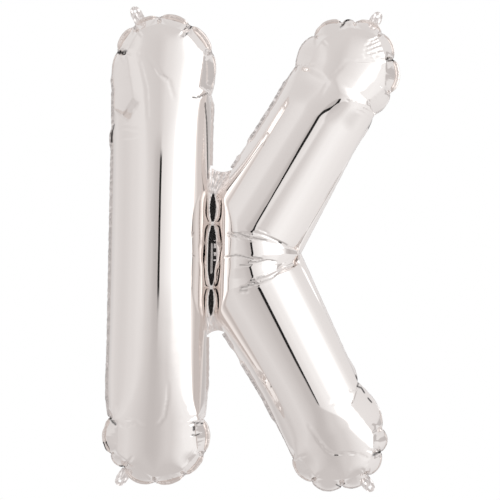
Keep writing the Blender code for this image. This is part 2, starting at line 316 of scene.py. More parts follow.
def lineDistance(points, line):
    best = np.full(len(points), 1e9)
    share = np.zeros(len(points))
    nearest = np.zeros((len(points), 2))
    walk = walked(line)
    for a, b, start, end in zip(line, line[1:], walk, walk[1:]):
        t = np.clip(((points - a) @ (b - a)) / (end - start) ** 2, 0, 1)
        foot = a + t[:, None] * (b - a)
        away = np.hypot(*(points - foot).T)
        nearer = away < best
        best = np.where(nearer, away, best)
        share = np.where(nearer, (start + t * (end - start)) / walk[-1], share)
        nearest = np.where(nearer[:, None], foot, nearest)
    return best, share, nearest


def insideOutline(points, outline):
    inside = np.zeros(len(points), bool)
    x, y = points[:, 0], points[:, 1]
    for (x1, y1), (x2, y2) in zip(outline, np.roll(outline, -1, axis=0)):
        if y1 != y2:
            inside ^= ((y1 > y) != (y2 > y)) & (x < (x2 - x1) * (y - y1) / (y2 - y1) + x1)
    return inside


def outlineDistance(points, outline):
    best = np.full(len(points), 1e9)
    along = np.zeros(len(points))
    walk = 0.0
    for a, b in zip(outline, np.roll(outline, -1, axis=0)):
        d = b - a
        length = math.hypot(*d)
        if length > 0:
            t = np.clip(((points - a) @ d) / length**2, 0, 1)
            away = np.hypot(*(points - a - t[:, None] * d).T)
            nearer = away < best
            along = np.where(nearer, walk + t * length, along)
            best = np.where(nearer, away, best)
        walk += length
    return best, along


def flatPattern(flats, targets, ends, fineLines):
    closedFlat = np.vstack([flats, flats[:1]])
    closedTarget = np.vstack([targets, targets[:1]])
    steps = np.linalg.norm(np.diff(closedFlat, axis=0), axis=1)
    along = np.concatenate([[0], np.cumsum(steps)])
    middles = (closedFlat[:-1] + closedFlat[1:]) / 2
    crowd = np.concatenate([[0], np.cumsum(steps / wantedSpacing(middles, ends, fineLines))])
    count = int(round(crowd[-1]))
    marks = np.interp(np.arange(count) * crowd[-1] / count, crowd, along)
    seam = np.column_stack([np.interp(marks, along, closedFlat[:, i]) for i in (0, 1)])
    seamTarget = np.column_stack([np.interp(marks, along, closedTarget[:, i]) for i in (0, 1)])
    fine, plain = lattice["fine"], lattice["plain"]
    levels = (fine, (fine * plain) ** 0.5, plain)
    bounds = (0.0, (levels[0] * levels[1]) ** 0.5, (levels[1] * levels[2]) ** 0.5, 1.0)
    low, high = seam.min(0), seam.max(0)
    grids = []
    for spacing, least, most in zip(levels, bounds, bounds[1:]):
        xs = np.arange(low[0], high[0], spacing)
        zs = np.arange(low[1], high[1], spacing * math.sqrt(3) / 2)
        gx, gz = np.meshgrid(xs, zs)
        gx = gx + (np.arange(len(zs)) % 2)[:, None] * spacing / 2
        grid = np.column_stack([gx.ravel(), gz.ravel()])
        wanted = wantedSpacing(grid, ends, fineLines)
        grids.append(grid[(wanted >= least) & (wanted < most)])
    points = np.vstack(grids)
    points = points[insideOutline(points, seam)]
    points = points[outlineDistance(points, seam)[0] > 0.62 * wantedSpacing(points, ends, fineLines)]
    points = np.vstack([seam, points])
    loop = [(i, (i + 1) % count) for i in range(count)]
    for turn in range(3):
        faces = delaunay_2d_cdt([tuple(p) for p in points], loop, [], 1, 1e-7, False)[2]
        tris = np.array([face for face in faces if len(face) == 3])
        a, b, c = points[tris[:, 0]], points[tris[:, 1]], points[tris[:, 2]]
        area = (b[:, 0] - a[:, 0]) * (c[:, 1] - a[:, 1]) - (b[:, 1] - a[:, 1]) * (c[:, 0] - a[:, 0])
        keep = (np.abs(area) > 1e-8) & insideOutline((a + b + c) / 3, points[:count])
        tris, area = tris[keep], area[keep]
        tris[area < 0] = tris[area < 0][:, ::-1]
        for _ in range(4 if turn < 2 else 0):          # even the lattice out where its spacings meet
            total = np.zeros_like(points)
            degree = np.zeros(len(points))
            for p, q in ((0, 1), (1, 2), (2, 0), (1, 0), (2, 1), (0, 2)):
                np.add.at(total, tris[:, p], points[tris[:, q]])
                np.add.at(degree, tris[:, p], 1)
            points[count:] += 0.6 * (total[count:] / degree[count:, None] - points[count:])
    depth, place = outlineDistance(points, seam)
    return {
        "points": points, "tris": tris, "seamCount": count, "seamTarget": seamTarget, "ends": ends,
        "depth": depth, "along": place,
    }


def neighbourRings(tris, count, seamCount):
    following = [dict() for _ in range(count)]
    for i, j, k in tris.tolist():
        following[i][j] = k
        following[j][k] = i
        following[k][i] = j
    widest = max(len(links) for links in following) + 2
    table = np.zeros((widest, count), np.int64)
    real = np.zeros((widest, count), bool)
    for v, links in enumerate(following):
        start = next(iter(links)) if v >= seamCount else next(iter(set(links) - set(links.values())))
        order = [start]
        while order[-1] in links and links[order[-1]] != start:
            order.append(links[order[-1]])
        table[:, v] = start
        table[:len(order), v] = order
        real[:len(order), v] = True
    return table, real


def relax(state, rest, table, real, seamFrom, seamTo, values):
    x, y, z, vx, vy, vz = state
    cut = len(seamFrom)
    inner = np.arange(len(x)) >= cut
    share = real / real.sum(0)
    spring = real * values["stretch"]
    after = np.roll(np.arange(len(table)), -1)
    for step in range(values["steps"]):
        t = min(1.0, (step + 1) / values["ramp"])
        t = t * t * (3 - 2 * t)
        x[:cut] = seamFrom[:, 0] + t * (seamTo[:, 0] - seamFrom[:, 0])
        z[:cut] = seamFrom[:, 1] + t * (seamTo[:, 1] - seamFrom[:, 1])
        y[:cut] = 0.0
        dx, dy, dz = x[table] - x, y[table] - y, z[table] - z
        strain = 1.0 - rest / np.sqrt(dx * dx + dy * dy + dz * dz + 1e-18)
        pull = np.where(strain > 0, strain, strain * values["squeeze"]) * spring
        ex, ey, ez = dx[after], dy[after], dz[after]
        push = values["pressure"] / 6 * min(1.0, (step + 10) / (0.3 * values["ramp"]))
        fx = (pull * dx).sum(0) + push * (dy * ez - dz * ey).sum(0)
        fy = (pull * dy).sum(0) + push * (dz * ex - dx * ez).sum(0)
        fz = (pull * dz).sum(0) + push * (dx * ey - dy * ex).sum(0)
        ux, uy, uz = (dx * share).sum(0), (dy * share).sum(0), (dz * share).sum(0)
        ux[:cut] = uy[:cut] = uz[:cut] = 0
        bend, damping = values["bend"], values["damping"]
        vx = (vx + fx - bend * ((ux[table] - ux) * share).sum(0)) * damping
        vy = (vy + fy - bend * ((uy[table] - uy) * share).sum(0)) * damping
        vz = (vz + fz - bend * ((uz[table] - uz) * share).sum(0)) * damping
        vx[:cut] = vy[:cut] = vz[:cut] = 0
        cap = np.minimum(1.0, 0.0012 / np.sqrt(vx * vx + vy * vy + vz * vz + 1e-18))
        x, y, z = x + vx * cap, y + vy * cap, z + vz * cap
        over = inner & (y > -0.0002)
        y[over] = -0.0002
        vy[over] = 0
    return [x, y, z, vx, vy, vz]


def blowUp(pattern, seed):
    points, cut = pattern["points"], pattern["seamCount"]
    count = len(points)
    table, real = neighbourRings(pattern["tris"], count, cut)
    rng = np.random.default_rng(seed)
    x, z = points[:, 0].copy(), points[:, 1].copy()
    rest = np.hypot(x[table] - x, z[table] - z)
    rest[~real] = 1.0
    y = np.zeros(count)
    y[cut:] = -0.004 + rng.normal(0, 0.001, count - cut)
    state = [x, y, z, np.zeros(count), np.zeros(count), np.zeros(count)]
    fewer = 1
    first = {**smoothPass, "steps": smoothPass["steps"] // fewer, "ramp": smoothPass["ramp"] // fewer}
    target = pattern["seamTarget"]
    state = relax(state, rest, table, real, points[:cut].copy(), target, first)
    x, y, z = state[:3]
    now = np.sqrt((x[table] - x) ** 2 + (y[table] - y) ** 2 + (z[table] - z) ** 2)
    weight = np.zeros(count)
    for centre, _, axis in pattern["ends"]:
        weight = np.maximum(weight, np.clip(((points - centre) @ axis + 0.055) / 0.05, 0, 1))
    slack = foldPass["tubeSlack"] + foldPass["endSlack"] * (weight[table] + weight) / 2
    rest = np.where(real, np.minimum(rest, now * slack), 1.0)
    state[1] = y + np.concatenate([np.zeros(cut), rng.normal(0, foldPass["jitter"], count - cut)]) * weight
    second = {**foldPass, "steps": foldPass["steps"] // fewer}
    state = relax(state, rest, table, real, target, target, second)
    return np.column_stack(state[:3])


def halveTriangles(verts, tris):
    count = len(verts)
    ends = np.sort(np.vstack([tris[:, [0, 1]], tris[:, [1, 2]], tris[:, [2, 0]]]), axis=1)
    facing = np.concatenate([tris[:, 2], tris[:, 0], tris[:, 1]])
    edges, inverse = np.unique(ends, axis=0, return_inverse=True)
    inverse = inverse.ravel()
    inner = np.bincount(inverse) == 2
    wing = np.column_stack([np.bincount(inverse, verts[facing, c]) for c in range(verts.shape[1])])
    a, b = verts[edges[:, 0]], verts[edges[:, 1]]
    middle = np.where(inner[:, None], (3 * (a + b) + wing) / 8, (a + b) / 2)
    total, rimTotal = np.zeros_like(verts), np.zeros_like(verts)
    degree, onRim = np.zeros(count), np.zeros(count, bool)
    for p, q in ((0, 1), (1, 0)):
        np.add.at(total, edges[:, p], verts[edges[:, q]])
        np.add.at(degree, edges[:, p], 1)
        np.add.at(rimTotal, edges[~inner, p], verts[edges[~inner, q]])
        onRim[edges[~inner, p]] = True
    beta = (0.625 - (0.375 + 0.25 * np.cos(2 * np.pi / degree)) ** 2) / degree
    moved = verts * (1 - degree * beta)[:, None] + total * beta[:, None]
    moved[onRim] = verts[onRim] * 0.75 + rimTotal[onRim] * 0.125
    ab, bc, ca = inverse.reshape(3, -1) + count
    p, q, r = tris.T
    quarters = [(p, ab, ca), (q, bc, ab), (r, ca, bc), (ab, bc, ca)]
    return np.vstack([moved, middle]), np.vstack([np.column_stack(quarter) for quarter in quarters])


def addPiece(name, verts, faces, material, stored=None):
    mesh = bpy.data.meshes.new(name)
    mesh.from_pydata(np.asarray(verts).tolist(), [], np.asarray(faces).tolist())
    mesh.shade_smooth()
    mesh.materials.append(material)
    for key, values in (stored or {}).items():
        layer = mesh.attributes.new(key, "FLOAT", "POINT")
        layer.data.foreach_set("value", np.asarray(values, np.float32))
    piece = bpy.data.objects.new(name, mesh)
    bpy.context.scene.collection.objects.link(piece)
    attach(piece, "root")
    return piece


filmLook = {
    "colour": (0.950, 0.912, 0.892),
    "roughness": 0.045,
    # near-black colour painted into the base colour where folds lie in shade: painted shade
    "paintedShadeColour": (0.02, 0.018, 0.018),
    "weldColour": (0.925, 0.885, 0.87),
    "weldRoughness": 0.17,
}


def newMaterial(name, colour, roughness):
    material = bpy.data.materials.new(name)
    material.use_nodes = True
    shader = material.node_tree.nodes["Principled BSDF"]
    shader.inputs["Base Color"].default_value = (*colour, 1.0)
    shader.inputs["Metallic"].default_value = 1.0
    shader.inputs["Roughness"].default_value = roughness
    return material, material.node_tree, shader


def mathNode(tree, operation, first, second=None, clamp=False):
    node = tree.nodes.new("ShaderNodeMath")
    node.operation = operation
    node.use_clamp = clamp
    for i, value in enumerate((first, second)):
        if isinstance(value, (int, float)):
            node.inputs[i].default_value = value
        elif value is not None:
            tree.links.new(value, node.inputs[i])
    return node.outputs[0]


def noiseNode(tree, vector, scale, detail, rough=0.5):
    node = tree.nodes.new("ShaderNodeTexNoise")
    node.inputs["Scale"].default_value = scale
    node.inputs["Detail"].default_value = detail
    node.inputs["Roughness"].default_value = rough
    tree.links.new(vector, node.inputs["Vector"])
    return node.outputs["Fac"]


def bumpInto(tree, shader, height, strength, distance):
    node = tree.nodes.new("ShaderNodeBump")
    node.inputs["Strength"].default_value = strength
    node.inputs["Distance"].default_value = distance
    tree.links.new(height, node.inputs["Height"])
    tree.links.new(node.outputs["Normal"], shader.inputs["Normal"])


# painted shade: mixes the base colour towards a near-black colour by the 'fold' attribute, in place of the shade in
# deep folds
def paintFoldShade(tree, shader, colour):
    fold = tree.nodes.new("ShaderNodeAttribute")
    fold.attribute_name = "fold"
    paintedShadeMix = tree.nodes.new("ShaderNodeMix")
    paintedShadeMix.data_type = "RGBA"
    paintedShadeMix.inputs[6].default_value = (*colour, 1.0)
    paintedShadeMix.inputs[7].default_value = (*filmLook["paintedShadeColour"], 1.0)
    tree.links.new(fold.outputs["Fac"], paintedShadeMix.inputs[0])
    tree.links.new(paintedShadeMix.outputs[2], shader.inputs["Base Color"])


def filmMaterial():
    material, tree, shader = newMaterial("silver foil", filmLook["colour"], filmLook["roughness"])
    coords = tree.nodes.new("ShaderNodeTexCoord").outputs["Object"]
    along = tree.nodes.new("ShaderNodeAttribute")
    along.attribute_name = "along"
    depth = tree.nodes.new("ShaderNodeAttribute")
    depth.attribute_name = "depth"
    across = tree.nodes.new("ShaderNodeCombineXYZ")
    tree.links.new(mathNode(tree, "MULTIPLY", along.outputs["Fac"], 1.0), across.inputs[0])
    tree.links.new(mathNode(tree, "MULTIPLY", depth.outputs["Fac"], 0.12), across.inputs[1])
    puckered = noiseNode(tree, across.outputs[0], 190.0, 2.0)
    nearSeam = mathNode(tree, "POWER", 2.718, mathNode(tree, "MULTIPLY", depth.outputs["Fac"], -1 / 0.0075))
    fine = mathNode(tree, "MULTIPLY", puckered, nearSeam)
    broad = noiseNode(tree, coords, 14.0, 2.0)
    grain = noiseNode(tree, coords, 160.0, 2.0)
    uneven = mathNode(tree, "ADD", mathNode(tree, "MULTIPLY", broad, 0.05), mathNode(tree, "MULTIPLY", grain, 0.0022))
    height = mathNode(tree, "ADD", uneven, mathNode(tree, "MULTIPLY", fine, 0.75))
    bumpInto(tree, shader, height, 0.55, 0.004)
    # painted shade in the film's folds
    paintFoldShade(tree, shader, filmLook["colour"])
    return material


def weldMaterial(name, colour, roughness, crinkled, pressed):
    material, tree, shader = newMaterial(name, colour, roughness)
    coords = tree.nodes.new("ShaderNodeTexCoord").outputs["Object"]
    crinkle = noiseNode(tree, coords, 150.0, 4.0, 0.6)
    press = noiseNode(tree, coords, 900.0, 1.0)
    height = mathNode(tree, "ADD", crinkle, mathNode(tree, "MULTIPLY", press, pressed))
    bumpInto(tree, shader, height, crinkled, 0.0012)
    dull = tree.nodes.new("ShaderNodeMapRange")
    dull.inputs["To Min"].default_value = roughness * 0.7
    dull.inputs["To Max"].default_value = roughness * 1.5
    tree.links.new(crinkle, dull.inputs["Value"])
    tree.links.new(dull.outputs[0], shader.inputs["Roughness"])
    # painted shade in the welded foil's folds
    paintFoldShade(tree, shader, colour)
    return material


foil = filmMaterial()
weldedFoil = weldMaterial("welded foil", filmLook["weldColour"], filmLook["weldRoughness"], 0.30, 0.12)
smoothWeld = weldMaterial("smooth welded foil", filmLook["colour"], 0.05, 0.02, 0.0)
print("materials made")

stemPattern = flatPattern(*stemOutline())
armsPattern = flatPattern(*armsOutline())
print("flat patterns cut:", len(stemPattern["points"]), "and", len(armsPattern["points"]), "points")

seeds = {"front": (7, 11), "back": (23, 31)}
with ThreadPoolExecutor(4) as pool:
    jobs = {}
    for side, (stemSeed, armsSeed) in seeds.items():
        jobs[side] = (pool.submit(blowUp, stemPattern, stemSeed), pool.submit(blowUp, armsPattern, armsSeed))
    blown = {side: [job.result() for job in pair] for side, pair in jobs.items()}
print("film blown up")


# the heel where the arms meet: a short upright length of tube between two creases
heel = {
    "ridgeX": 0.0030,
    "ridgeSway": ((0.0300, -0.0014), (0.0130, -0.0016), (-0.0080, 0.0016), (-0.0200, -0.0020),
                  (-0.0300, -0.0022), (-0.0480, 0.0020), (-0.0600, 0.0020)),     # (height, shift of the ridge)
    "ridgeDepth": 0.0772,
    "leftRadius": 0.0850,
    "rightRadius": 0.0766,
    "flankRadius": 0.1000,
    "flankBlend": 0.0030,
    "creaseBlend": 0.0045,
    "creaseAbove": ((-0.0364, 0.0272), (0.0867, 0.0010)),
    "creaseBelow": ((-0.0173, -0.0620), (0.0842, -0.0223)),
    "flankLean": (0.24, 0.042, 0.054, -0.0040),       # slope, where it starts and is full, height of no change
    "cornerSpare": ((0.0071, 0.0624), (0.0121, 0.0782)),     # how far the corners lie outside the tubes, and where
    "spareEnds": 0.2367,
    "edge": (0.010, 0.045),
    "reach": (0.285, 0.345),
}

# the upper arm's ridge: it sways to the right under the head and gets sharper towards the heel
ridge = {
    "sway": 0.22,
    "swayFrom": (-0.100, -0.050),
    "swayEnds": (-0.046, -0.030),
    "roof": 0.032,
    "roofHalf": 0.0010,
    "roofFrom": (0.130, 0.270),
    "roofEnds": (0.305, 0.325),
    "roofReach": 0.012,
}

# the stem is a little thicker round one height than towards its ends
barrel = {
    "height": 0.049,
    "spread": 0.200,
    "share": 0.070,
}

# creases as (depth in mm, half-width in mm, sharp end first, points in mm across and up)
creases = (
    (3.2, 1.5, False, ((-40, 29.5), (-20, 24), (-2, 19.5), (12, 17), (28, 16))),
    (2.2, 1.4, False, ((-39, 25), (-28, 21), (-18, 17.5))),
    (1.8, 1.4, False, ((-22, 29), (-12, 27.5), (-2, 24.5))),
    (1.3, 1.5, False, ((-16, 30), (-6, 27.5), (3, 26))),
    (2.6, 1.8, False, ((6, 29), (21, 25.5), (36, 20), (50, 13), (64, 7), (84, 2))),
    (1.4, 1.5, False, ((16, 34), (24, 31), (33, 26.5))),
    (2.8, 1.5, False, ((-44, -12.5), (-36, -11), (-23, -8.5), (-9, -11), (8, -15.5), (21, -15))),
    (1.8, 1.5, False, ((-2, -22), (9, -19.5), (28, -16.5), (47, -19))),
    (1.4, 1.4, False, ((-17, -26), (2, -25))),
    (1.0, 1.5, False, ((40, -27), (58, -20), (70, -14))),
    (2.6, 1.8, False, ((-18, -64), (-2, -59), (14, -54.5), (36, -46), (49, -36.5), (84, -22.5))),
    (2.0, 1.6, False, ((-7, -59.5), (5, -50.5), (23.5, -43.5), (41, -35.5), (60, -26.5))),
    (2.4, 1.5, False, ((-18, -64.5), (-2, -59), (12, -54), (20, -50))),
    (1.8, 1.5, False, ((-22, -69), (-10, -71), (-1, -69))),
    (1.8, 1.8, False, ((-92, -330), (-100, -345), (-108, -361))),
    (2.0, 1.6, False, ((-75, 325), (-73, 302), (-74, 276))),
    (1.5, 2.0, True, ((-208, 335), (-187, 329), (-169, 323))),
    (1.3, 3.2, False, ((-172, 325), (-151, 294), (-135, 282), (-126, 250))),
    (0.9, 2.6, False, ((-184, 318), (-172, 270), (-169, 215))),
    (1.6, 1.8, True, ((-233, 205), (-205, 204), (-178, 198))),
    (0.9, 1.8, False, ((-230, 190), (-205, 188), (-176, 192))),
    (2.4, 1.8, True, ((-70, 266), (-85, 257), (-98, 255))),
    (2.2, 2.2, True, ((-237, -286), (-226, -293), (-207, -295), (-190, -291), (-175, -294), (-157, -295))),
    (1.4, 2.8, False, ((-158, -296), (-143, -279), (-138, -250), (-137, -220))),
    (1.3, 1.8, False, ((-220, -289), (-207, -283), (-196, -285), (-181, -289))),
    (2.0, 2.0, True, ((-76, -278), (-90, -279), (-108, -287), (-122, -284))),
    (1.8, 1.8, False, ((-78, -294), (-98, -292), (-110, -296))),
    (1.4, 1.8, False, ((-78, -309), (-96, -311), (-112, -312))),
    (1.6, 2.0, False, ((-138, -368), (-134, -380), (-130, -391))),
    (2.4, 1.9, True, ((205, 230), (180, 241), (157, 252))),
    (1.6, 1.6, False, ((167, 252), (184, 244), (196, 239))),
    (1.4, 1.6, False, ((176, 235), (190, 230), (200, 222))),
    (2.0, 2.4, False, ((158, 317), (174, 317.5), (197, 316), (214, 318), (229, 319))),
    (0.6, 3.4, False, ((163, 315), (144, 297), (129, 278), (116, 254))),
    (1.8, 1.9, True, ((153, 374), (154, 362), (155, 348))),
    (2.0, 2.0, False, ((190, 321), (206, 323), (224, 328))),
    (2.6, 2.0, False, ((188, 326), (202, 330), (216, 335), (227, 336))),
    (2.6, 2.0, False, ((190, 333), (203, 338), (216, 344), (226, 346))),
    (2.6, 2.0, False, ((193, 341), (205, 346), (218, 353))),
    (2.0, 2.0, False, ((198, 349), (208, 353), (218, 360))),
    (1.6, 1.5, False, ((203, 357), (211, 361), (217, 366))),
    (2.4, 1.9, True, ((182, -231), (162, -238), (141, -250), (129, -257))),
    (1.8, 1.7, False, ((174, -241), (153, -250), (133, -258))),
    (2.6, 2.6, False, ((96, -290), (114, -318), (129, -335), (141, -341), (162, -339), (183, -342), (199, -350))),
)
# painted shade for folds: short deep folds whose colour is painted black, then shallower ones painted grey:
# half-width in mm and points
paintedBlackFolds = (
    (1.5, ((-229, 336.8), (-218, 335.2), (-208, 334.6))),
    (1.1, ((-98.5, 382), (-102, 375))),
    (0.9, ((-103.7, 366), (-111, 357))),
    (0.9, ((-97, 254.8), (-85, 256.4), (-72, 264))),
    (0.8, ((-75.5, 247), (-73, 215), (-72, 175), (-71, 120))),
    (1.5, ((-230, 212), (-231.5, 206), (-235, 199), (-235.5, 184))),
    (1.5, ((-237, -286), (-232, -290), (-226, -293))),
    (1.3, ((-249, -327), (-246, -337), (-242, -345))),
    (1.3, ((-221, -368), (-213.5, -368))),
    (0.9, ((-96, -289), (-80, -293.8))),
    (1.6, ((-94, -296), (-94, -302))),
    (0.9, ((-97, -311), (-86, -310.4))),
    (1.2, ((153, 376), (160, 384))),
    (1.3, ((160, 386), (165, 391), (173, 393.5))),
    (1.5, ((229, 318.6), (245, 323))),
    (1.6, ((240.5, 258), (237.5, 247), (230, 239), (219, 231.5))),
    (1.5, ((210, 221), (202.5, 207))),
    (1.5, ((207, -344.6), (222, -343))),
    (1.0, ((146, -396), (158, -406))),
    (1.1, ((179, -213), (184, -223), (181, -231), (189, -234), (194, -242))),
    (1.0, ((200, -251), (206, -258))),
    (1.0, ((48, 13.6), (52, 11.6))),
)
# shallower folds painted grey as shade: how far towards the black, half-width in mm and points
paintedGreyFolds = (
    (0.42, 0.9, ((-38, 28.2), (-30, 25.5), (-23, 22.8))),
    (0.42, 0.9, ((-28.6, 29.8), (-17.3, 27.7), (-1.9, 21.4))),
    (0.45, 0.9, ((-40, -12), (-35.7, -11), (-24.3, -8.5), (-14.5, -9.7), (5.1, -15.6))),
    (0.42, 1.0, ((6.6, -11), (20, -13.9))),
    (0.40, 0.9, ((-2.5, -19.8), (12.3, -20.2), (22.1, -17.4), (36.2, -16.7), (44.7, -18.8))),
    (0.30, 0.9, ((-17, -24.5), (1, -25.5))),
    (0.50, 1.0, ((-16, -63.9), (-1.9, -59.7), (16.5, -54.1))),
    (0.42, 0.9, ((-0.4, -54.8), (13.7, -46.3), (22.8, -43.5))),
    (0.30, 0.9, ((-17.3, -68.2), (-4.6, -67.4))),
    (0.35, 0.9, ((5.2, 21.4), (13.7, 18.5), (27.8, 16.8))),
    (0.35, 0.9, ((32, 21.4), (47.5, 15.8), (63, 8))),
    (0.25, 0.9, ((19.3, -53.4), (39, -45.6), (49, -37.1))),
)
petals = {
    "inset": 0.0030,       # how far inside a slit's tip the chord between two petals ends
    "power": 0.88,
    "share": 0.85,
}
# places where the film is smoothed after blowing up: across and up in mm, reach in mm
calmed = ((-211, 236, 34), (93, 306, 14))
notchGroove = {
    "depth": 0.0040,
    "halfWidth": 0.0022,
    "length": 0.012,
    "clearOfSeam": 0.0030,
}


def smoothStep(value, low, high):
    t = np.clip((value - low) / (high - low), 0, 1)
    return t * t * (3 - 2 * t)


def roundDepth(away, radius):
    return np.sqrt(np.maximum(radius * radius - away * away, 0))


def smallerOf(a, b, blend):
    share = np.clip(0.5 + 0.5 * (b - a) / blend, 0, 1)
    return b + (a - b) * share - blend * share * (1 - share)


def above(points, line):
    run = unit(np.subtract(line[1], line[0]))
    return (points - np.array(line[0])) @ np.array([-run[1], run[0]])


def shapeHeel(film):
    points = film[:, [0, 2]]
    meet = np.array(letter["armsMeet"])
    depths, reaches = [], []
    for end, (spare, corner) in zip(("upperHead", "lowerFoot"), heel["cornerSpare"]):
        run = unit(np.subtract(letter[end], meet))
        reach = (points - meet) @ run
        spare = spare * np.clip((heel["spareEnds"] - reach) / (heel["spareEnds"] - corner), 0, 1)
        aside = (points - meet) @ np.array([run[1], -run[0]])
        outer = (aside < 0) == (end == "upperHead")
        aside = np.where(outer, aside * letter["armRadius"] / (letter["armRadius"] + spare), aside)
        depths.append(roundDepth(aside, letter["armRadius"]))
        reaches.append(reach)
    heights, shifts = np.array(heel["ridgeSway"])[::-1].T
    across = points[:, 0] - heel["ridgeX"] - np.interp(points[:, 1], heights, shifts)
    left = heel["ridgeDepth"] - heel["leftRadius"] + roundDepth(across, heel["leftRadius"])
    right = roundDepth(across, heel["rightRadius"]) * heel["ridgeDepth"] / heel["rightRadius"]
    upright = np.where(across < 0, left, right)
    lean, start, full, level = heel["flankLean"]
    upright += lean * smoothStep(across, start, full) * (points[:, 1] - level) * (upright > 0)
    half = heel["creaseBlend"]
    up = smoothStep(above(points, heel["creaseAbove"]), -half, half)
    down = smoothStep(-above(points, heel["creaseBelow"]), -half, half)
    depth = upright * (1 - up) * (1 - down) + depths[0] * up + depths[1] * down
    beside = np.clip(points[:, 0] - weldX(points[:, 1]), 0, heel["flankRadius"])
    flank = roundDepth(heel["flankRadius"] - beside, heel["flankRadius"])
    depth = np.maximum(smallerOf(depth, flank, heel["flankBlend"]), 0)
    weight = smoothStep(film[:, 3], *heel["edge"]) * (1 - smoothStep(np.maximum(*reaches), *heel["reach"]))
    film[:, 1] += weight * (-depth - film[:, 1])
    shapeRidge(film)


def shapeRidge(film):
    run = unit(np.subtract(letter["upperHead"], letter["armsMeet"]))
    away = film[:, [0, 2]] - np.array(letter["upperHead"])
    along, across = away @ run, away @ np.array([run[1], -run[0]])
    inside = np.maximum(1 - (across / letter["armRadius"]) ** 2, 0)
    sway = smoothStep(along, *ridge["swayFrom"]) * (1 - smoothStep(along, *ridge["swayEnds"]))
    film[:, 1] -= ridge["sway"] * across * inside * sway
    slope = ridge["roof"] * smoothStep(-along, *ridge["roofFrom"]) * (1 - smoothStep(-along, *ridge["roofEnds"]))
    reach = ridge["roofReach"]
    film[:, 1] -= slope * reach * np.exp(-np.hypot(across, ridge["roofHalf"]) / reach)


def shapeBarrel(film):
    away = (film[:, 2] - barrel["height"]) / barrel["spread"]
    film[:, 1] *= 1 - barrel["share"] * (1 - np.exp(-away * away))


def calmFilm(film, tris):
    ends = np.vstack([tris[:, [0, 1]], tris[:, [1, 2]], tris[:, [2, 0]]])
    ends = np.vstack([ends, ends[:, ::-1]])
    share = np.zeros(len(film))
    for x, z, reach in calmed:
        away = np.hypot(film[:, 0] - 0.001 * x, film[:, 2] - 0.001 * z) / (0.001 * reach)
        share = np.maximum(share, 1 - smoothStep(away, 0.5, 1.0))
    share *= smoothStep(film[:, 3], 0.001, 0.006)
    degree = np.bincount(ends[:, 0], minlength=len(film))
    for _ in range(60):
        for part in range(3):
            mean = np.bincount(ends[:, 0], film[ends[:, 1], part], len(film)) / degree
            film[:, part] += 0.6 * share * (mean - film[:, part])


def inwardNormals(film, tris):
    a, b, c = film[tris[:, 0], :3], film[tris[:, 1], :3], film[tris[:, 2], :3]
    flat = np.cross(b - a, c - a)
    total = np.zeros((len(film), 3))
    for corner in range(3):
        np.add.at(total, tris[:, corner], flat)
    total /= np.linalg.norm(total, axis=1)[:, None] + 1e-18
    return total if total[:, 1].mean() > 0 else -total


def notchLines(ends):
    lines = []
    for name in ends:
        table = puckers[name]
        reach = letter["stemRadius"] if name.startswith("stem") else letter["armRadius"]
        for angle, mouth, depth, _ in table:
            if depth > 1.5:
                turn = math.radians(angle)
                out = np.array([math.cos(turn), math.sin(turn)])
                tip = np.array(letter[name]) + out * (reach + 0.001 * (mouth - depth) + 0.001)
                lines.append((depth / 12, (tip, tip - out * (notchGroove["length"] * (0.5 + depth / 12)))))
    return lines


def chordsOf(name):
    radius = letter["stemRadius"] if name.startswith("stem") else letter["armRadius"]
    tips = []
    for angle, mouth, depth, _ in puckers[name]:
        if depth > 1.5:
            turn = math.radians(angle)
            reach = radius + 0.001 * (mouth - depth) - petals["inset"]
            tips.append((angle, np.array(letter[name]) + reach * np.array([math.cos(turn), math.sin(turn)])))
    return list(zip(tips, tips[1:]))


def shapePetals(film, outline, ends):
    points = film[:, [0, 2]]
    for name in ends:
        away = points - np.array(letter[name])
        turn = np.degrees(np.arctan2(away[:, 1], away[:, 0]))
        reach = np.hypot(*away.T)
        for (first, tip), (last, nextTip) in chordsOf(name):
            middle = (first + last) / 2
            beside = np.abs((turn - middle + 180) % 360 - 180) <= (last - first) / 2
            run = nextTip - tip
            length = np.linalg.norm(run)
            out = np.array([run[1], -run[0]]) / length
            beyond = (points - tip) @ out
            picked = np.flatnonzero(beside & (beyond > 0) & (reach < 0.11))
            marks = tip + run * np.linspace(0, 1, 25)[:, None]
            depths = [film[np.hypot(*(points - mark).T).argmin(), 1] for mark in marks]
            share = np.clip((points[picked] - tip) @ run / length**2, 0, 1)
            chordDepth = np.interp(share, np.linspace(0, 1, 25), depths)
            rim = outlineDistance(points[picked], outline)[0]
            fall = (rim / (rim + beyond[picked] + 1e-9)) ** petals["power"]
            film[picked, 1] += petals["share"] * (chordDepth * fall - film[picked, 1])


# how much painted shade each vertex gets near the listed fold lines
def paintedFoldShade(film):
    shade = np.zeros(len(film))
    for strength, half, line in [(1.0, *row) for row in paintedBlackFolds] + list(paintedGreyFolds):
        away = lineDistance(film[:, [0, 2]], 0.001 * np.array(line))[0]
        shade = np.maximum(shade, strength * np.clip(1.6 - away / (0.001 * half), 0, 1))
    return shade


def pressCreases(film, tris, ends):
    normals = inwardNormals(film, tris)
    clear = smoothStep(film[:, 3], 0, notchGroove["clearOfSeam"])
    moved = np.zeros(len(film))
    lines = [
        (0.001 * depth, 0.001 * half, sharp, 0.001 * np.array(line)) for depth, half, sharp, line in creases
    ]
    for share, line in notchLines(ends):
        lines.append((notchGroove["depth"] * share, notchGroove["halfWidth"], True, np.array(line)))
    for depth, half, sharpStart, line in lines:
        away, along, nearest = lineDistance(film[:, [0, 2]], line)
        close = (away < 0.0007) & (along > 0.03) & (along < 0.97)
        film[close, 0], film[close, 2] = nearest[close].T      # the crease's bottom runs along edges
        away[close] = 0
        taper = (1 - along) ** 0.8 if sharpStart else np.sin(np.pi * along) ** 0.5
        groove = np.exp(-away / half) - 0.35 * np.exp(-((away / (2.6 * half)) ** 2))
        moved += depth * taper * groove
    film[:, :3] += normals * (moved * clear)[:, None]


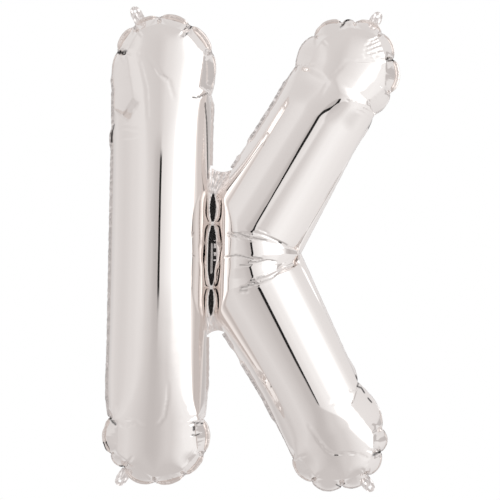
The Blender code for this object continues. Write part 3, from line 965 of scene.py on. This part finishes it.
def makePanel(name, node, side):
    verts, faces, shades, start = [], [], [], 0
    walk = 0.0
    pairs = zip((stemPattern, armsPattern), blown[side], (shapeBarrel, shapeHeel), endNames)
    for pattern, film, shape, ends in pairs:
        stored = np.column_stack([film, pattern["depth"], pattern["along"] + walk])
        moved, tris = halveTriangles(stored, pattern["tris"])
        calmFilm(moved, tris)
        shape(moved)
        shapePetals(moved, pattern["seamTarget"], ends)
        pressCreases(moved, tris, ends)
        shades.append(paintedFoldShade(moved))
        if side == "back":
            moved[:, 1] *= -1
            tris = tris[:, ::-1]
        verts.append(moved)
        faces.append(tris + start)
        start += len(moved)
        walk += 10.0
    verts = np.vstack(verts)
    # 'fold' holds where shade is painted into the film's colour
    stored = {"depth": verts[:, 3], "along": verts[:, 4], "fold": np.concatenate(shades)}
    piece = addPiece(name, verts[:, :3], np.vstack(faces), foil, stored)
    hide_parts(node)
    return piece


endNames = (("stemHead", "stemFoot"), ("upperHead", "lowerFoot"))
frontFilm = makePanel("front_film", "front_panel", "front")
backFilm = makePanel("back_film", "back_panel", "back")
print("panels made:", len(frontFilm.data.polygons), "triangles each")

margin = {
    "width": 0.0045,
    "tuck": 0.0010,
    "half": 0.00012,
    "step": 0.0014,
    "crinkle": 0.0005,
    "rows": 4,
    "capShare": 0.58,            # how much narrower the margin is round the ends
    "backInside": 1.0,           # film folded behind each slit, mm: in past its tip, out past its mouth
    "backBeyond": 1.6,
    "backHalf": 0.0034,
    "backSet": 0.0007,
    "leanStem": 50.0,            # degrees the margin leans back on the right of the stem and of the arms
    "leanArms": 68.0,
    "leanWidth": 1.5,            # how much wider the margin is where it leans
    "webTop": (0.1420, 0.1380, 0.0070),     # height at the stem, at the arm, and sag between
    "webFoot": (-0.1465, -0.1400, 0.0060),
    "weldTop": 0.0965,
    "weldFoot": -0.1135,
}


def smoothed(values, rounds):
    for _ in range(rounds):
        before, after = np.roll(values, 1, axis=0), np.roll(values, -1, axis=0)
        values = (before + 2 * values + after) / 4
    return values


def waver(s, seed, lengths):
    rng = np.random.default_rng(seed)
    total = np.zeros_like(s)
    for length in lengths:
        for _ in range(3):
            own = length * rng.uniform(0.75, 1.35)
            total += np.sin(2 * np.pi * s / own + rng.uniform(0, 6.28)) * rng.uniform(0.5, 1.0)
    return total / (1.6 * len(lengths))


def thickStrip(rows, normals, half, closed):
    rows = np.asarray(rows)
    count, across = rows.shape[:2]
    front, back = rows - normals * half, rows + normals * half
    verts = np.vstack([front.reshape(-1, 3), back.reshape(-1, 3)])
    faces = []
    turns = count if closed else count - 1
    shift = count * across
    for i in range(turns):
        j = (i + 1) % count
        for k in range(across - 1):
            a, b, c, d = i * across + k, i * across + k + 1, j * across + k + 1, j * across + k
            faces.append((a, b, c, d))
            faces.append((a + shift, d + shift, c + shift, b + shift))
        for k, turned in ((0, False), (across - 1, True)):
            a, b = i * across + k, j * across + k
            quad = (a, b, b + shift, a + shift)
            faces.append(quad[::-1] if turned else quad)
    if not closed:
        for i, turned in ((0, True), (count - 1, False)):
            for k in range(across - 1):
                a, b = i * across + k, i * across + k + 1
                quad = (a, b, b + shift, a + shift)
                faces.append(quad[::-1] if turned else quad)
    return verts, faces


def runsOf(mask):
    places = np.flatnonzero(mask)
    if len(places) == len(mask):
        return [places]
    starts = [i for i in places if not mask[i - 1]]
    runs = []
    for start in starts:
        run = [start]
        while mask[(run[-1] + 1) % len(mask)]:
            run.append((run[-1] + 1) % len(mask))
        runs.append(np.array(run))
    return runs


def leanAngles(points):
    lean = np.zeros(len(points))
    middle, radius = stemCentreX(points[:, 1]), letter["stemRadius"]
    beside = (points[:, 0] > middle + 0.9 * radius) & (points[:, 0] < middle + 1.1 * radius)
    lean[beside & (np.abs(points[:, 1]) < 0.285)] = margin["leanStem"]
    for end, hand in (("upperHead", 1), ("lowerFoot", -1)):
        run = unit(np.subtract(letter[end], letter["armsMeet"]))
        away = points - np.array(letter[end])
        side = away @ np.array([run[1], -run[0]]) * hand / letter["armRadius"]
        lean[(away @ run < -0.01) & (side > 0.9) & (side < 1.25)] = margin["leanArms"]
    return np.radians(smoothed(lean, 12))


def roundAnEnd(points):
    share = np.zeros(len(points))
    meet = np.array(letter["armsMeet"])
    for end, start in (
        ("stemHead", letter["stemFoot"]), ("stemFoot", letter["stemHead"]), ("upperHead", meet), ("lowerFoot", meet)
    ):
        run = unit(np.subtract(letter[end], start))
        share[(points - np.array(letter[end])) @ run > -0.02] = 1.0
    return share


def marginStrips(targets, hidden, seed):
    loop = np.vstack([targets, targets[:1]])
    length = walked(loop)[-1]
    points = resample(loop, int(length / margin["step"]) + 1)[:-1]
    tangent = smoothed(np.roll(points, -1, axis=0) - np.roll(points, 1, axis=0), 2)
    tangent /= np.linalg.norm(tangent, axis=1)[:, None]
    normal = np.column_stack([tangent[:, 1], -tangent[:, 0]])
    s = np.arange(len(points)) * margin["step"]
    width = np.full(len(points), 0.0)
    for trial in (0.2, 0.4, 0.6, 0.8, 1.0):
        tip = points + normal * margin["width"] * trial
        clear = np.full(len(points), 1e9)
        for shift in range(len(points)):
            if 4 < shift < len(points) - 4:
                clear = np.minimum(clear, np.hypot(*(tip - np.roll(points, shift, axis=0)).T))
        width = np.where(clear > 0.75 * margin["width"] * trial, margin["width"] * trial, width)
    lean = leanAngles(points)
    width *= 1 + (margin["leanWidth"] - 1) * np.sin(lean)
    width *= 1 - margin["capShare"] * smoothed(roundAnEnd(points), 10)
    width = smoothed(width, 2) * (1 + 0.10 * waver(s, seed, (0.012, 0.030)))
    ripple = margin["crinkle"] * waver(s, seed + 1, (0.0065, 0.011, 0.024))
    strips = []
    for run in runsOf(~hidden(points)):
        rows, facing = [], []
        for i in run:
            row = []
            for k in range(margin["rows"]):
                t = k / (margin["rows"] - 1)
                reach = -margin["tuck"] + t * (margin["tuck"] + width[i])
                back = max(reach, 0.0) * math.sin(lean[i])
                place = points[i] + normal[i] * (reach - max(reach, 0.0) * (1 - math.cos(lean[i])))
                row.append((place[0], back + ripple[i] * t * min(1.0, width[i] / margin["width"]), place[1]))
            rows.append(row)
        strips.append(thickStrip(rows, np.array([0.0, 1.0, 0.0]), margin["half"], False))
    return strips


def nearValley(points):
    beside = (points[:, 0] > stemEdgeX(points[:, 1]) - 0.004) & (points[:, 0] < stemEdgeX(points[:, 1]) + 0.008)
    return beside & (points[:, 1] < margin["webTop"][0] + 0.001) & (points[:, 1] > margin["webFoot"][0] - 0.001)


def nearArmsWeld(points):
    run = unit(np.subtract(letter["upperHead"], letter["armsMeet"]))
    lower = unit(np.subtract(letter["lowerFoot"], letter["armsMeet"]))
    away = points - np.array(letter["armsMeet"])
    left = (away @ np.array([-run[1], run[0]]) > 0.045) | (away @ np.array([lower[1], -lower[0]]) > 0.045)
    return left & (points[:, 1] < margin["webTop"][1]) & (points[:, 1] > margin["webFoot"][1])


def seamAt(targets, height, leftmost):
    loop = np.vstack([targets, targets[:1]])
    found = []
    for (x1, z1), (x2, z2) in zip(loop, loop[1:]):
        if (z1 > height) != (z2 > height):
            found.append(x1 + (x2 - x1) * (height - z1) / (z2 - z1))
    return min(found) if leftmost else max(found)


def webGrid(stemTargets, armTargets, weldHeight, stemHeight, armHeight, sag, seed):
    rowCount, acrossCount = 44, 44
    rows = []
    spread = np.random.default_rng(seed).uniform(0, 6.28, 3)
    for i in range(rowCount):
        t = i / (rowCount - 1)
        zLeft = weldHeight + (stemHeight - weldHeight) * t
        zRight = weldHeight + (armHeight - weldHeight) * t
        xLeft = seamAt(stemTargets, zLeft, False) - 0.0015
        xRight = seamAt(armTargets, zRight, True) + 0.0015
        row = []
        for k in range(acrossCount):
            u = k / (acrossCount - 1)
            edge = math.sin(math.pi * u)
            x = xLeft + (xRight - xLeft) * u
            z = zLeft + (zRight - zLeft) * u - math.copysign(sag, weldHeight) * 4 * u * (1 - u) * t
            fold = math.sin(2 * math.pi * 3.5 * u + spread[0])
            fold += 0.6 * math.sin(2 * math.pi * 7.5 * u + spread[1])
            crumple = noise.noise(Vector((x * 240 + seed, 0.0, z * 110)))
            row.append((x, (0.0010 * fold * t + 0.0016 * crumple) * edge ** 0.5, z))
        rows.append(row)
    if weldHeight < 0:
        rows = rows[::-1]
    return thickStrip(rows, np.array([0.0, 1.0, 0.0]), margin["half"], False)


def joinParts(parts):
    verts, faces, start = [], [], 0
    for partVerts, partFaces in parts:
        verts.append(partVerts)
        faces += [tuple(v + start for v in face) for face in partFaces]
        start += len(partVerts)
    return np.vstack(verts), faces


def outwardAgain(piece):
    form = bmesh.new()
    form.from_mesh(piece.data)
    bmesh.ops.remove_doubles(form, verts=form.verts, dist=0.00001)
    bmesh.ops.recalc_face_normals(form, faces=form.faces)
    form.to_mesh(piece.data)
    form.free()


def addStrip(name, parts, material):
    verts, faces = joinParts(parts)
    mesh = bpy.data.meshes.new(name)
    mesh.from_pydata(verts.tolist(), [], faces)
    mesh.materials.append(material)
    piece = bpy.data.objects.new(name, mesh)
    bpy.context.scene.collection.objects.link(piece)
    outwardAgain(piece)
    mesh.shade_smooth()
    mesh.set_sharp_from_angle(angle=math.radians(60))
    # 'fold' holds where shade is painted into the strip's colour
    layer = mesh.attributes.new("fold", "FLOAT", "POINT")
    layer.data.foreach_set("value", paintedFoldShade(np.array([vertex.co for vertex in mesh.vertices])).astype(np.float32))
    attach(piece, "root")
    return piece


def slitBacks():
    backs = []
    for end, table in puckers.items():
        radius = letter["stemRadius"] if end.startswith("stem") else letter["armRadius"]
        for angle, mouth, depth, _ in table:
            if depth > 1.5:
                turn = math.radians(angle)
                out = np.array([math.cos(turn), math.sin(turn)])
                side = np.array([-out[1], out[0]])
                rows = []
                for reach in np.linspace(mouth - depth - margin["backInside"], mouth + margin["backBeyond"], 6):
                    middle = np.array(letter[end]) + out * (radius + 0.001 * reach)
                    spots = [middle + side * share * margin["backHalf"] for share in (1, 0.5, 0, -0.5, -1)]
                    rows.append([(x, margin["backSet"], z) for x, z in spots])
                backs.append(thickStrip(rows, np.array([0.0, 1.0, 0.0]), margin["half"], False))
    return backs


stemLoop, armsLoop = stemOutline()[1], armsOutline()[1]
parts = marginStrips(stemLoop, nearValley, 3) + marginStrips(armsLoop, nearArmsWeld, 9)
parts.append(webGrid(stemLoop, armsLoop, margin["weldTop"], *margin["webTop"], 4))
parts.append(webGrid(stemLoop, armsLoop, margin["weldFoot"], *margin["webFoot"], 5))
parts += slitBacks()
seamMargin = addStrip("seam_margin", parts, weldedFoil)
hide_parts("seam_flange")
print("margin and crotch webs made")

valley = {
    "clear": 0.0030,       # each weld stops this far from a gas channel's middle
    "rowStep": 0.0009,
    "across": 21,
    "crinkle": 0.0016,
    # the smooth flat heart of each weld: top, foot and half-width where it is widest
    "hearts": ((0.0980, 0.0448, 0.0058), (0.0455, -0.0625, 0.0092), (-0.0620, -0.1130, 0.0052)),
    "bead": (0.0120, -0.0400, 0.0008, 0.00007),       # top, foot, half-width and height of the bead
}


def heartHalf(z):
    half = 0.0
    for top, foot, widest in valley["hearts"]:
        if foot < z < top:
            half = widest * math.sin(math.pi * (z - foot) / (top - foot)) ** 0.6
    return half


def makeWeld(name, low, high, seed):
    count = int((high - low) / valley["rowStep"]) + 1
    rows = []
    beadTop, beadFoot, beadHalf, beadHeight = valley["bead"]
    for z in np.linspace(low, high, count):
        swell = float(channelSwell(z))
        left = stemEdgeX(z) + swell - 0.0012
        right = weldX(z) - swell + 0.0012
        half = heartHalf(z)
        row = []
        for k in range(valley["across"]):
            x = left + (right - left) * k / (valley["across"] - 1)
            off = abs(x - (left + right) / 2)
            rough = min(1.0, max(0.0, (off - half) / 0.0012))
            y = valley["crinkle"] * rough * noise.noise(Vector((x * 460, seed, z * 420)))
            if beadFoot < z < beadTop:
                y -= beadHeight * math.exp(-((off / beadHalf) ** 2))
            row.append((x, y, z))
        rows.append(row)
    strip = thickStrip(rows, np.array([0.0, 1.0, 0.0]), margin["half"], False)
    piece = addStrip(name, [strip], smoothWeld)
    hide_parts(name.replace("valley", "web"))
    return piece


upperChannel, lowerChannel = letter["channelHeights"]
makeWeld("valley_weld_upper", upperChannel + valley["clear"], margin["weldTop"] + 0.001, 41)
makeWeld("valley_weld_middle", lowerChannel + valley["clear"], upperChannel - valley["clear"], 42)
makeWeld("valley_weld_lower", margin["weldFoot"] - 0.001, lowerChannel - valley["clear"], 43)


def deselectAll():
    for thing in bpy.context.selected_objects:
        thing.select_set(False)


def makeChannel(name, height):
    deselectAll()
    middle = (stemEdgeX(height) + weldX(height)) / 2
    bpy.ops.mesh.primitive_cylinder_add(
        vertices=32, radius=0.0034, depth=0.0130, end_fill_type="NGON",
        location=(middle, 0.0, height), rotation=(0.0, math.pi / 2, 0.0),
    )
    tube = bpy.context.object
    tube.name = name
    bpy.ops.object.transform_apply(location=True, rotation=True, scale=True)
    bpy.ops.object.mode_set(mode="EDIT")
    bpy.ops.mesh.select_all(action="SELECT")
    bpy.ops.mesh.subdivide(number_cuts=5)
    bpy.ops.object.mode_set(mode="OBJECT")
    for vertex in tube.data.vertices:
        across = (vertex.co.x - middle) / 0.0065
        waist = 0.62 + 0.38 * across * across
        vertex.co.y *= waist
        vertex.co.z = height + (vertex.co.z - height) * (0.75 + 0.25 * across * across)
    outwardAgain(tube)
    tube.data.materials.clear()
    tube.data.materials.append(foil)
    bpy.ops.object.shade_smooth_by_angle(angle=math.radians(50))
    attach(tube, "root")


for name, height in zip(("gas_channel_upper", "gas_channel_lower"), letter["channelHeights"]):
    makeChannel(name, height)
print("valley made")

tabs = {
    "ring": 0.0084,
    "hole": 0.0026,
    "base": 0.0098,
    "half": 0.00015,
    "crinkle": 0.0009,
    "places": (
        ("hanging_lug_stem_head", "hanging_tab_stem_head", "stemHead", 117.0, 0.1065, 0.026),
        ("hanging_lug_stem_foot", "hanging_tab_stem_foot", "stemFoot", 235.0, 0.1075, 0.022),
        ("hanging_lug_upper_head", "hanging_tab_upper_head", "upperHead", 60.5, 0.1040, 0.020),
        ("hanging_lug_lower_foot", "hanging_tab_lower_foot", "lowerFoot", 304.5, 0.1015, 0.018),
    ),
}


def makeTab(name, node, end, angle, distance, reach, seed):
    rng = np.random.default_rng(seed)
    phases = rng.uniform(0, 6.28, 4)
    steps, rings = 72, 7
    rows = []
    for i in range(steps):
        turn = 2 * math.pi * i / steps
        c, s = math.cos(turn), math.sin(turn)
        outer = tabs["ring"]
        if s < 0:
            outer = min(tabs["base"] / max(abs(c), 1e-6), reach / max(-s, 1e-6))
            outer = max(outer, tabs["ring"])
            blend = min(1.0, -s * 3)
            outer = tabs["ring"] * (1 - blend) + outer * blend
        row = []
        for k in range(rings):
            r = tabs["hole"] + (outer - tabs["hole"]) * k / (rings - 1)
            u, v = r * c, r * s
            lift = tabs["crinkle"] * (
                math.sin(620 * u + 240 * v + phases[0]) + 0.8 * math.sin(480 * v - 390 * u + phases[1])
                + 0.5 * math.sin(1150 * u + phases[2])
            )
            row.append((u, lift * min(1.0, (v + reach) / 0.012), v))
        rows.append(row)
    verts, faces = thickStrip(rows, np.array([0.0, 1.0, 0.0]), tabs["half"], True)
    centre = letter[end]
    bearing = math.radians(angle)
    place = Vector((centre[0] + distance * math.cos(bearing), 0.0, centre[1] + distance * math.sin(bearing)))
    move = Matrix.Translation(place) @ Matrix.Rotation(math.pi / 2 - bearing, 4, "Y")
    verts = np.array([move @ Vector(v) for v in verts])
    piece = addStrip(name, [(verts, faces)], weldedFoil)
    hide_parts(node)


for seed, row in enumerate(tabs["places"]):
    makeTab(*row, 60 + seed)
print("tabs made")

sleeve = {
    "x": -0.1480,
    "width": 0.0236,
    "length": 0.0330,
    "rise": 5.0,
    "half": 0.00025,
    "crinkle": 0.0005,
}


def makeSleeve():
    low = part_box("filling_sleeve")[0]
    rows = []
    for i in range(24):
        t = i / 23
        narrow = 1.0 if t < 0.85 else math.sqrt(max(0.0, 1 - ((t - 0.85) / 0.15) ** 2 * 0.16))
        row = []
        for k in range(16):
            u = k / 15 - 0.5
            x = sleeve["x"] + u * sleeve["width"] * narrow
            y = 0.0012 + t * sleeve["length"] * math.cos(math.radians(sleeve["rise"]))
            z = low.z + 0.0006 + t * sleeve["length"] * math.sin(math.radians(sleeve["rise"]))
            z += sleeve["crinkle"] * (math.sin(520 * x + 3) * 0.6 + math.sin(260 * y + 180 * x)) * (0.3 + t)
            row.append((x, y, z + sleeve["crinkle"]))
        rows.append(row)
    strip = thickStrip(rows, np.array([0.0, 0.0, 1.0]), sleeve["half"], False)
    piece = addStrip("filling_tail", [strip], weldedFoil)
    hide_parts("filling_sleeve")


makeSleeve()
print("sleeve made")

studio = {
    "floorHeight": -1.50,
    "floorSize": 14.0,
    "cameraDistance": 4.0,
    "frameWidth": 0.85,
}

# the room the film mirrors. Tones are in percent as they show on the film, at degrees round from the
# camera's side (+ to the right), for panels level with the balloon, below it and above it
room = {
    "level": (
        (-180, 80), (-159, 77), (-128, 84), (-110, 82), (-95, 81), (-82, 82), (-70, 84), (-59, 85), (-48, 87),
        (-38, 87), (-28, 82), (-19, 79), (-9, 72), (-1, 70), (1, 86), (9, 88), (19, 93), (28, 97), (36, 113),
        (84, 113), (91, 96), (97, 78), (110, 70), (124, 74), (140, 72), (159, 78), (180, 82),
    ),
    "low": (
        (-180, 86), (-158, 84), (-138, 76), (-114, 80), (-96, 77), (-80, 81), (-65, 82), (-48, 84), (-32, 80),
        (-22, 77), (-13, 73.5), (-5, 73), (2, 74.5), (9, 78), (14, 80), (22, 81), (31, 87), (42, 93), (60, 95),
        (80, 93), (96, 91), (114, 90), (135, 88), (160, 84), (180, 86),
    ),
    "high": (
        (-180, 86), (-140, 85), (-114, 82), (-96, 83), (-80, 84), (-65, 86), (-48, 87), (-40, 87), (-31, 82),
        (-22, 80.5), (-13, 79.5), (-6, 79), (0, 82), (5, 85.5), (13, 88), (22, 92), (28, 95), (36, 104), (44, 113),
        (84, 113), (92, 100), (100, 93), (114, 88), (134, 86), (180, 86),
    ),
    "lowFrom": (-3.2, -7.0),
    "highFrom": (5.4, 9.5),
    "overhead": 81,
    "overheadFrom": (30.0, 52.0),
    "underfoot": 76,
    "underfootFrom": (-30.0, -50.0),
    "gapHalf": 2.7,              # the dark gap in front: half-width, middle and half-height in degrees
    "gapMiddle": 0.75,
    "gapHeight": 5.75,
    "gapTone": 0.02,
    "shine": 0.92,
    "warmth": 0.10,
    "strength": 1.5,
    "floorLight": 1.35,
}


def makeFloor():
    deselectAll()
    bpy.ops.mesh.primitive_plane_add(size=studio["floorSize"], location=(0.0, 0.0, studio["floorHeight"]))
    floor = bpy.context.object
    floor.name = "studio_floor"
    bpy.ops.object.transform_apply(location=True, rotation=True, scale=True)
    material = bpy.data.materials.new("pale floor")
    material.use_nodes = True
    tree = material.node_tree
    shader = tree.nodes["Principled BSDF"]
    shader.inputs["Roughness"].default_value = 0.9
    coords = tree.nodes.new("ShaderNodeTexCoord").outputs["Object"]
    tone = tree.nodes.new("ShaderNodeMapRange")
    tone.inputs["To Min"].default_value = 0.90
    tone.inputs["To Max"].default_value = 0.94
    tree.links.new(noiseNode(tree, coords, 3.0, 2.0), tone.inputs["Value"])
    tree.links.new(tone.outputs[0], shader.inputs["Base Color"])
    floor.data.materials.append(material)
    floor.visible_glossy = False


def toneColour(percent):
    value = (percent / 100) ** 2.2 / room["shine"]
    dim = max(0.0, 1.0 - value) * room["warmth"]
    return tuple(part / room["strength"] for part in (value * (1 + dim), value, value * (1 - 0.3 * dim))) + (1.0,)


def rampNode(tree, factor, stops):
    node = tree.nodes.new("ShaderNodeValToRGB")
    tree.links.new(factor, node.inputs[0])
    points = node.color_ramp.elements
    while len(points) > 1:
        points.remove(points[0])
    points[0].position = (stops[0][0] + 180.0) / 360.0
    points[0].color = toneColour(stops[0][1])
    for degrees, percent in stops[1:]:
        points.new((degrees + 180.0) / 360.0).color = toneColour(percent)
    return node.outputs[0]


def blendNode(tree, value, limits, first, second):
    share = tree.nodes.new("ShaderNodeMapRange")
    share.interpolation_type = "SMOOTHSTEP"
    share.inputs["From Min"].default_value = limits[0]
    share.inputs["From Max"].default_value = limits[1]
    tree.links.new(value, share.inputs["Value"])
    node = tree.nodes.new("ShaderNodeMix")
    node.data_type = "RGBA"
    tree.links.new(share.outputs[0], node.inputs[0])
    tree.links.new(first, node.inputs[6])
    if isinstance(second, (int, float)):
        node.inputs[7].default_value = toneColour(second)
    else:
        tree.links.new(second, node.inputs[7])
    return node.outputs[2]


def makeLight():
    world = bpy.data.worlds.new("soft studio")
    bpy.context.scene.world = world
    world.use_nodes = True
    tree = world.node_tree
    tree.nodes.clear()
    direction = tree.nodes.new("ShaderNodeTexCoord").outputs["Generated"]
    split = tree.nodes.new("ShaderNodeSeparateXYZ")
    tree.links.new(direction, split.inputs[0])
    x, y, z = split.outputs
    round_ = mathNode(tree, "ARCTAN2", x, mathNode(tree, "MULTIPLY", y, -1.0))
    azimuth = mathNode(tree, "MULTIPLY", round_, 180 / math.pi)
    elevation = mathNode(tree, "MULTIPLY", mathNode(tree, "ARCSINE", z), 180 / math.pi)
    turn = mathNode(tree, "DIVIDE", mathNode(tree, "ADD", azimuth, 180.0), 360.0)
    level, low, high = (rampNode(tree, turn, room[part]) for part in ("level", "low", "high"))
    tone = blendNode(tree, elevation, room["lowFrom"], level, low)
    tone = blendNode(tree, elevation, room["highFrom"], tone, high)
    tone = blendNode(tree, elevation, room["overheadFrom"], tone, room["overhead"])
    tone = blendNode(tree, elevation, room["underfootFrom"], tone, room["underfoot"])
    side = mathNode(tree, "SUBTRACT", room["gapHalf"], mathNode(tree, "ABSOLUTE", azimuth))
    off = mathNode(tree, "ABSOLUTE", mathNode(tree, "SUBTRACT", elevation, room["gapMiddle"]))
    end = mathNode(tree, "SUBTRACT", room["gapHeight"], off)
    gap = mathNode(
        tree, "MULTIPLY", mathNode(tree, "MULTIPLY", side, 2.5, True), mathNode(tree, "MULTIPLY", end, 1.2, True)
    )
    keep = mathNode(tree, "SUBTRACT", 1.0, mathNode(tree, "MULTIPLY", gap, 1 - room["gapTone"]))
    rays = tree.nodes.new("ShaderNodeLightPath")
    lift = mathNode(tree, "MULTIPLY", rays.outputs["Is Diffuse Ray"], room["floorLight"] - 1.0)
    power = mathNode(tree, "MULTIPLY", mathNode(tree, "ADD", lift, 1.0), room["strength"])
    soft = tree.nodes.new("ShaderNodeBackground")
    tree.links.new(tone, soft.inputs["Color"])
    tree.links.new(mathNode(tree, "MULTIPLY", keep, power), soft.inputs["Strength"])
    white = tree.nodes.new("ShaderNodeBackground")
    white.inputs["Color"].default_value = (1.0, 1.0, 1.0, 1.0)
    choose = tree.nodes.new("ShaderNodeMixShader")
    tree.links.new(rays.outputs["Is Camera Ray"], choose.inputs[0])
    tree.links.new(soft.outputs[0], choose.inputs[1])
    tree.links.new(white.outputs[0], choose.inputs[2])
    output = tree.nodes.new("ShaderNodeOutputWorld")
    tree.links.new(choose.outputs[0], output.inputs[0])


def makeCamera():
    camera = bpy.data.cameras.new("camera")
    camera.sensor_width = 36.0
    camera.lens = 36.0 * studio["cameraDistance"] / studio["frameWidth"]
    seat = bpy.data.objects.new("camera", camera)
    bpy.context.scene.collection.objects.link(seat)
    seat.location = (0.0, -studio["cameraDistance"], 0.0)
    seat.rotation_euler = (math.pi / 2, 0.0, 0.0)
    bpy.context.scene.camera = seat
    bpy.context.scene.view_settings.view_transform = "Standard"


makeFloor()
makeLight()
makeCamera()
print("studio made")
